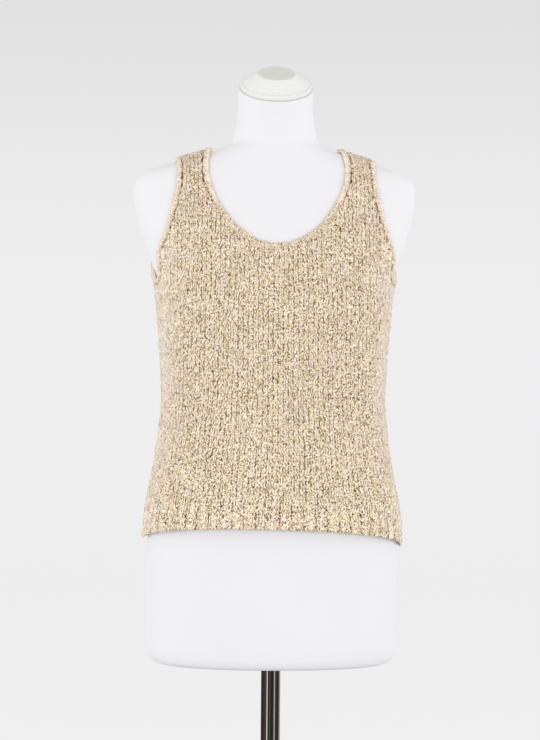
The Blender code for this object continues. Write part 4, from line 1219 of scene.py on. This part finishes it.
def curl_material(name):
    m, nt, bsdf = nodes_of(name, (0.88, 0.76, 0.60))
    tone = attribute(nt, "tone", "Fac")
    place = add(nt, "ShaderNodeTexCoord").outputs["Object"]
    ply = noise(nt, place, 1500.0, 2.0, 0.6)
    v = math_node(nt, "MULTIPLY_ADD", tone, 0.75, math_node(nt, "MULTIPLY", ply, 0.35), clamp=True)
    nt.links.new(yarn_tint(nt, place, colour_ramp(nt, v, CURL_YARN)), bsdf.inputs["Base Color"])
    bsdf.inputs["Roughness"].default_value = 0.9
    bsdf.inputs["Specular IOR Level"].default_value = 0.2
    bsdf.inputs["Sheen Weight"].default_value = 1.0
    bsdf.inputs["Sheen Roughness"].default_value = 0.28
    bsdf.inputs["Sheen Tint"].default_value = (1.0, 0.96, 0.93, 1.0)
    bump = add(nt, "ShaderNodeBump")
    bump.inputs["Strength"].default_value = 0.6
    bump.inputs["Distance"].default_value = 0.2 * MM
    nt.links.new(ply, bump.inputs["Height"])
    nt.links.new(bump.outputs["Normal"], bsdf.inputs["Normal"])
    return m


def jersey_material():
    m, nt, bsdf = nodes_of("white_jersey", (0.87, 0.87, 0.9))
    place = add(nt, "ShaderNodeTexCoord").outputs["Object"]
    fine = scaled(nt, place, (1.0, 1.0, 0.55))
    weave = noise(nt, fine, 1700.0, 1.0, 0.4)
    cloudy = noise(nt, place, 9.0, 2.0, 0.5)
    v = math_node(nt, "MULTIPLY_ADD", cloudy, 0.6, math_node(nt, "MULTIPLY", weave, 0.4))
    stops = ((0.25, (0.772, 0.770, 0.785)), (0.75, (0.812, 0.810, 0.822)))
    nt.links.new(colour_ramp(nt, v, stops), bsdf.inputs["Base Color"])
    bsdf.inputs["Roughness"].default_value = 0.85
    bsdf.inputs["Specular IOR Level"].default_value = 0.2
    bsdf.inputs["Sheen Weight"].default_value = 0.12
    bsdf.inputs["Sheen Roughness"].default_value = 0.4
    bump = add(nt, "ShaderNodeBump")
    bump.inputs["Strength"].default_value = 0.12
    bump.inputs["Distance"].default_value = 0.15 * MM
    nt.links.new(weave, bump.inputs["Height"])
    nt.links.new(bump.outputs["Normal"], bsdf.inputs["Normal"])
    return m


def cap_material(name, low, high):
    m, nt, bsdf = nodes_of(name, high)
    place = add(nt, "ShaderNodeTexCoord").outputs["Object"]
    grain = noise(nt, place, 260.0, 3.0, 0.5)
    nt.links.new(colour_ramp(nt, grain, ((0.3, low), (0.7, high))), bsdf.inputs["Base Color"])
    bsdf.inputs["Roughness"].default_value = 0.5
    bsdf.inputs["Specular IOR Level"].default_value = 0.35
    bump = add(nt, "ShaderNodeBump")
    bump.inputs["Strength"].default_value = 0.05
    bump.inputs["Distance"].default_value = 0.2 * MM
    nt.links.new(grain, bump.inputs["Height"])
    nt.links.new(bump.outputs["Normal"], bsdf.inputs["Normal"])
    return m


def metal_material(name, low, high, rough_low, rough_high, stretch, scale, bump_strength):
    m, nt, bsdf = nodes_of(name, high)
    place = add(nt, "ShaderNodeTexCoord").outputs["Object"]
    lines = noise(nt, scaled(nt, place, stretch), scale, 3.0, 0.6)
    nt.links.new(colour_ramp(nt, lines, ((0.3, low), (0.7, high))), bsdf.inputs["Base Color"])
    rough = add(nt, "ShaderNodeMapRange")
    nt.links.new(lines, rough.inputs["Value"])
    rough.inputs["To Min"].default_value = rough_low
    rough.inputs["To Max"].default_value = rough_high
    nt.links.new(rough.outputs["Result"], bsdf.inputs["Roughness"])
    bsdf.inputs["Metallic"].default_value = 1.0
    bump = add(nt, "ShaderNodeBump")
    bump.inputs["Strength"].default_value = bump_strength
    bump.inputs["Distance"].default_value = 0.05 * MM
    nt.links.new(lines, bump.inputs["Height"])
    nt.links.new(bump.outputs["Normal"], bsdf.inputs["Normal"])
    return m


KNIT = yarn_material("boucle_knit")
# on the rib the gap lines fall in the grooves between ribs and are deeper: painted shade there, with the brown core
# yarn
RIB = yarn_material("boucle_rib", -0.02, 0.5, 2.0, 0.78)
BAND = yarn_material("boucle_band", 0.02, 0.0, 1.0, 0.42)
CURL = curl_material("boucle_curls")
JERSEY = jersey_material()
CAP = cap_material("ivory_cap", (0.765, 0.765, 0.735), (0.80, 0.80, 0.775))
CAP_TOP = cap_material("ivory_cap_top", (0.665, 0.670, 0.608), (0.705, 0.710, 0.650))
CHROME = metal_material("chrome_pole", (0.70, 0.69, 0.68), (0.80, 0.79, 0.78), 0.05, 0.09,
                        (1.0, 1.0, 0.05), 900.0, 0.03)
STEEL = metal_material("steel_base", (0.52, 0.52, 0.53), (0.66, 0.66, 0.67), 0.24, 0.36,
                       (0.06, 1.0, 1.0), 700.0, 0.08)

# ------------------------------------------------------- cloth pieces
front, front_at = make_panel("front_panel_knit", -1, KNIT, 21)
back, back_at = make_panel("back_panel_knit", 1, KNIT, 47)
rib_front, rib_front_at = make_rib("hem_rib_front_knit", -1, RIB, 21)
rib_back, rib_back_at = make_rib("hem_rib_back_knit", 1, RIB, 47)
neck, neck_at = make_band("neckband_knit", "neck", 1, BAND, 63)
arm_left, arm_left_at = make_band("armhole_band_left_knit", "arm", 1, BAND, 71)
arm_right, arm_right_at = make_band("armhole_band_right_knit", "arm", -1, BAND, 83)

few = 1
curls = [
    make_curls("front_panel_curls", front_at, 5200 // few, CURL, 101),
    make_curls("back_panel_curls", back_at, 5200 // few, CURL, 102),
    make_curls("hem_rib_front_curls", rib_front_at, 560 // few, CURL, 103),
    make_curls("hem_rib_back_curls", rib_back_at, 560 // few, CURL, 104),
    make_curls("neckband_curls", neck_at, 620 // few, CURL, 105, 0.4),
    make_curls("armhole_band_left_curls", arm_left_at, 340 // few, CURL, 106, 0.4),
    make_curls("armhole_band_right_curls", arm_right_at, 340 // few, CURL, 107, 0.4),
]


# ------------------------------------------------------- dress form, cap, stand
def loft(name, rings, mat, caps=True, angle=None, normals=True):
    rings = np.asarray(rings, float)
    m, k = rings.shape[:2]
    ids = np.arange(m * k).reshape(m, k)
    nxt = np.roll(ids, -1, axis=1)
    faces = np.stack([ids[:-1], nxt[:-1], nxt[1:], ids[1:]], axis=-1).reshape(-1, 4).tolist()
    if caps:
        faces.append(ids[0].tolist()[::-1])
        faces.append(ids[-1].tolist())
    ob = new_mesh(name, rings.reshape(-1, 3), faces, mat)
    if angle:
        ob.data.set_sharp_from_angle(angle=math.radians(angle))
    return ob


def circle(radius, z, count):
    t = np.arange(count) * 2 * np.pi / count
    return np.stack([radius * np.cos(t), radius * np.sin(t), np.full(count, z)], axis=1)


FORM_SIDES = 160


def form_ring(z):
    a, f, b, s, n = FORM.ring(z)
    t = np.arange(FORM_SIDES) * 2 * np.pi / FORM_SIDES
    cx, sy = np.cos(t), np.sin(t)
    half = np.where(sy >= 0, b - s, s - f)
    return np.stack([a * np.sign(cx) * np.abs(cx) ** (2 / n),
                     s + half * np.sign(sy) * np.abs(sy) ** (2 / n), np.full(FORM_SIDES, float(z))], axis=1)


heights = []
for (z0, *_), (z1, *_) in zip(FORM_RINGS[:-1], FORM_RINGS[1:]):
    heights += list(np.linspace(z0, z1, 4, endpoint=False))
heights.append(FORM_RINGS[-1][0])
rings = [circle(POLE_R + SEAM_GAP, FORM_BOTTOM_Z + POLE_SOCKET, FORM_SIDES),
         circle(POLE_R + SEAM_GAP, FORM_BOTTOM_Z, FORM_SIDES)]
rings += [form_ring(z * MM) for z in heights]
neck_table = [smooth([r[0] for r in NECK_RINGS], [r[k] for r in NECK_RINGS]) for k in range(1, 5)]
for z in np.linspace(NECK_RINGS[0][0], NECK_RINGS[-1][0], 19)[1:]:
    centre, hw, hd, tilt = (float(t(z)) for t in neck_table)
    t = np.arange(FORM_SIDES) * 2 * np.pi / FORM_SIDES
    d = hd * np.sin(t)
    rings.append(np.stack([hw * np.cos(t), centre + d * math.cos(math.radians(tilt)),
                           z + d * math.sin(math.radians(tilt))], axis=1) * MM)
form = loft("dress_form", rings, JERSEY, angle=50)

# turned profile of the cap: rim, groove, low cone and flat top
CAP_COLUMNS = ("height", "radius")
CAP_PROFILE = ((0.3, 49.2), (0.5, 49.8), (0.9, 50.2), (2.0, 50.35), (5.4, 50.3), (6.2, 50.1),
               (6.9, 49.7), (7.2, 48.9), (7.3, 47.2), (7.6, 46.6), (7.9, 47.1), (9.2, 45.8),
               (12.0, 41.4), (16.0, 35.2), (19.5, 29.9), (20.7, 28.1), (21.3, 27.1), (21.65, 26.3),
               (21.8, 25.6))
CAP_SIDES = 144


def cap_ring(h, r):
    t = np.arange(CAP_SIDES) * 2 * np.pi / CAP_SIDES
    x, d = r * MM * np.cos(t), r * MM * np.sin(t) * 0.965
    return np.stack([x, CAP_CENTRE[1] + d * math.cos(CAP_TILT) - h * MM * math.sin(CAP_TILT),
                     CAP_CENTRE[2] + d * math.sin(CAP_TILT) + h * MM * math.cos(CAP_TILT)], axis=1)


cap_rings = [cap_ring(h, r) for h, r in CAP_PROFILE] + [cap_ring(21.8, r) for r in (22.0, 12.0)]
cap = loft("neck_cap_turned", cap_rings, [CAP, CAP_TOP], angle=40)
first_top = (len(CAP_PROFILE) - 2) * CAP_SIDES
for poly in cap.data.polygons:
    if poly.index >= first_top and len(poly.vertices) == 4 or (len(poly.vertices) > 4 and poly.index == len(cap.data.polygons) - 1):
        poly.material_index = 1

POLE_SIDES = 128
POLE_FOOT = BASE_T + 4.0 * MM
pole = loft("pole_tube", [circle(POLE_R, z, POLE_SIDES) for z in
                          np.linspace(POLE_FOOT + SEAM_GAP, FORM_BOTTOM_Z + POLE_SOCKET - SEAM_GAP, 9)],
            CHROME, angle=50)

BASE_COLUMNS = ("radius", "height")
BASE_PROFILE = ((BASE_R - 1.5 * MM, 0.0), (BASE_R - 0.5 * MM, 0.35 * MM), (BASE_R, 1.5 * MM),
                (BASE_R, 5.0 * MM), (BASE_R - 0.8 * MM, 6.3 * MM), (BASE_R - 3.0 * MM, 7.4 * MM),
                (BASE_R - 7.0 * MM, 8.4 * MM), (BASE_R - 12.0 * MM, BASE_T - 0.2 * MM),
                (BASE_R - 40.0 * MM, BASE_T), (BOSS_R + 6.0 * MM, BASE_T),
                (BOSS_R + 3.2 * MM, BASE_T + 0.6 * MM), (BOSS_R + 1.5 * MM, BASE_T + 1.6 * MM),
                (BOSS_R + 0.5 * MM, BASE_T + 3.0 * MM), (BOSS_R, BASE_T + 5.0 * MM),
                (BOSS_R, BASE_T + BOSS_H - 2.0 * MM), (BOSS_R - 0.6 * MM, BASE_T + BOSS_H - 0.6 * MM),
                (BOSS_R - 2.0 * MM, BASE_T + BOSS_H), (POLE_R + SEAM_GAP, BASE_T + BOSS_H),
                (POLE_R + SEAM_GAP, POLE_FOOT))
base = loft("base_turned", [circle(r, z, 160) for r, z in BASE_PROFILE], STEEL, angle=35)

# ------------------------------------------------------- what each piece stands for
for piece, node in ((front, "front_panel"), (back, "back_panel"), (rib_front, "hem_rib_front"),
                    (rib_back, "hem_rib_back"), (neck, "neckband"), (arm_left, "armhole_band_left"),
                    (arm_right, "armhole_band_right"), (form, "form_torso"), (cap, "neck_cap"),
                    (pole, "pole"), (base, "base_plate")):
    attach(piece, "root")
    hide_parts(node)
for piece in curls:
    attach(piece, "root")


# ------------------------------------------------------- studio
def backdrop():
    """Round floor that turns up into a wall far behind, the same on all sides.
    The paper glows a little, so that it is as even as a lit studio sweep."""
    radius, turn, high = 6.0, 2.2, 6.0
    prof = [(0.02, 0.0), (0.6, 0.0), (1.5, 0.0), (radius - turn, 0.0)]
    for k in range(1, 13):
        a = math.pi / 2 * k / 12
        prof.append((radius - turn + turn * math.sin(a), turn - turn * math.cos(a)))
    prof.append((radius, high))
    rings = [circle(r, z - 0.0005, 96) for r, z in prof]
    m, nt, bsdf = nodes_of("studio_paper", (0.8, 0.8, 0.8))
    place = add(nt, "ShaderNodeTexCoord").outputs["Object"]
    split = add(nt, "ShaderNodeSeparateXYZ")
    nt.links.new(place, split.inputs[0])
    up = math_node(nt, "DIVIDE", split.outputs["Z"], 2.4, clamp=True)
    nt.links.new(colour_ramp(nt, up, PAPER), bsdf.inputs["Emission Color"])
    bsdf.inputs["Emission Strength"].default_value = 1.0
    bsdf.inputs["Base Color"].default_value = (PAPER_BODY, PAPER_BODY, PAPER_BODY, 1.0)
    bsdf.inputs["Roughness"].default_value = 1.0
    bsdf.inputs["Specular IOR Level"].default_value = 0.0
    ob = loft("studio_floor", rings, m, caps=False)
    # the inside of the bowl faces the object
    ob.data.flip_normals()
    ob.visible_glossy = False
    ob.visible_diffuse = False
    ob.visible_shadow = False
    return ob


PAPER_BODY = 0.10
PAPER = ((0.00, (0.786, 0.786, 0.786)), (0.30, (0.786, 0.786, 0.786)), (0.45, (0.778, 0.778, 0.776)),
         (0.70, (0.732, 0.732, 0.730)), (0.95, (0.668, 0.668, 0.666)), (1.00, (0.662, 0.662, 0.660)))
floor = backdrop()


def area_light(name, place, aim, width, height, power, colour=(1.0, 1.0, 1.0)):
    data = bpy.data.lights.new(name, "AREA")
    data.shape = "RECTANGLE"
    data.size, data.size_y = width, height
    data.energy = power
    data.color = colour
    ob = bpy.data.objects.new(name, data)
    bpy.context.scene.collection.objects.link(ob)
    ob.location = place
    ob.rotation_euler = (Vector(aim) - Vector(place)).to_track_quat("-Z", "Y").to_euler()
    ob.visible_glossy = False
    return ob


AIM = (0.0, 0.0, 0.70)
area_light("key", (-1.5, -3.2, 0.85), AIM, 1.6, 1.5, 23.0, (1.0, 0.995, 0.985))
area_light("fill", (1.5, -3.2, 0.85), AIM, 1.6, 1.5, 22.0, (0.985, 0.99, 1.0))
area_light("overhead", (0.0, -0.6, 3.4), AIM, 2.6, 2.6, 18.5)
area_light("left_edge", (-2.6, 0.6, 0.95), AIM, 1.0, 1.4, 15.0)
area_light("right_edge", (2.6, 0.6, 0.95), AIM, 1.0, 1.4, 17.0)


def surroundings():
    """Soft light from all round, strongest near the horizon; polished metal
    reflects a dark room with two strip lights and the pale sweep behind."""
    world = bpy.data.worlds.new("studio")
    bpy.context.scene.world = world
    world.use_nodes = True
    nt = world.node_tree
    soft = nt.nodes["Background"]
    split = add(nt, "ShaderNodeSeparateXYZ")
    nt.links.new(add(nt, "ShaderNodeTexCoord").outputs["Generated"], split.inputs[0])
    x, y, z = (split.outputs[k] for k in "XYZ")
    band = math_node(nt, "EXPONENT", math_node(nt, "MULTIPLY", math_node(nt, "MULTIPLY", z, z), -1 / WORLD_BAND ** 2))
    behind = math_node(nt, "MAXIMUM", y, 0.0)
    level = math_node(nt, "MULTIPLY_ADD", band, WORLD_HORIZON, WORLD_EVEN)
    level = math_node(nt, "MULTIPLY_ADD", math_node(nt, "MULTIPLY", behind, band), WORLD_BEHIND, level)
    level = math_node(nt, "MULTIPLY_ADD", math_node(nt, "MAXIMUM", math_node(nt, "MULTIPLY", z, -1.0), 0.0),
                      WORLD_FLOOR, level)
    soft.inputs["Color"].default_value = (0.992, 0.982, 1.0, 1.0)
    nt.links.new(level, soft.inputs["Strength"])
    # the room as metal shows it: by angle from the front, to the right and to the left
    shown = add(nt, "ShaderNodeBackground")
    turn = math_node(nt, "DIVIDE", math_node(nt, "ARCTAN2", x, math_node(nt, "MULTIPLY", y, -1.0)), math.pi)
    at = math_node(nt, "MULTIPLY_ADD", turn, 0.5, 0.5)
    dark, brown, grey = (0.020, 0.017, 0.016), (0.075, 0.055, 0.042), (0.42, 0.42, 0.44)
    side = colour_ramp(nt, at, (
        (0.000, grey), (0.060, (0.20, 0.19, 0.19)), (0.105, dark), (0.330, brown), (0.352, dark), (0.368, (0.95, 0.95, 0.97)),
        (0.382, (0.95, 0.95, 0.97)), (0.395, brown), (0.430, dark), (0.470, (0.11, 0.09, 0.08)), (0.500, dark),
        (0.600, (0.045, 0.036, 0.032)), (0.612, (0.62, 0.60, 0.58)), (0.628, (0.62, 0.60, 0.58)), (0.645, brown),
        (0.760, dark), (0.815, (0.10, 0.085, 0.07)), (0.850, grey), (1.000, grey)))
    up = math_node(nt, "MULTIPLY_ADD", z, 2.2, -0.5, clamp=True)
    nt.links.new(mixed(nt, up, side, (0.62, 0.62, 0.64)), shown.inputs["Color"])
    mix = add(nt, "ShaderNodeMixShader")
    nt.links.new(add(nt, "ShaderNodeLightPath").outputs["Is Glossy Ray"], mix.inputs["Fac"])
    nt.links.new(soft.outputs[0], mix.inputs[1])
    nt.links.new(shown.outputs[0], mix.inputs[2])
    nt.links.new(mix.outputs[0], nt.nodes["World Output"].inputs["Surface"])


WORLD_EVEN = 0.455
WORLD_HORIZON = 0.56
WORLD_FLOOR = 0.26
WORLD_BAND = 0.45
WORLD_BEHIND = 0.30
surroundings()

bpy.context.scene.view_settings.view_transform = "Standard"
bpy.context.scene.view_settings.look = "None"

# ------------------------------------------------------- camera
CAMERA_YAW = math.radians(-3.0)
CAMERA_ASIDE = 0.0016        # the stand is a little right of the middle
CAMERA_ROLL = 0.0085
CAMERA_D = 2.9
cam_data = bpy.data.cameras.new("camera")
cam_data.lens = 100.8
cam_data.sensor_width = 36.0
cam_data.clip_end = 50.0
cam = bpy.data.objects.new("camera", cam_data)
bpy.context.scene.collection.objects.link(cam)
cam.location = (math.sin(CAMERA_YAW) * CAMERA_D, -math.cos(CAMERA_YAW) * CAMERA_D, 0.706)
turn = Matrix.Rotation(CAMERA_YAW + CAMERA_ASIDE, 3, "Z") @ Matrix.Rotation(math.radians(90.0), 3, "X")
cam.rotation_euler = (turn @ Matrix.Rotation(CAMERA_ROLL, 3, "Z")).to_euler()
bpy.context.scene.camera = cam
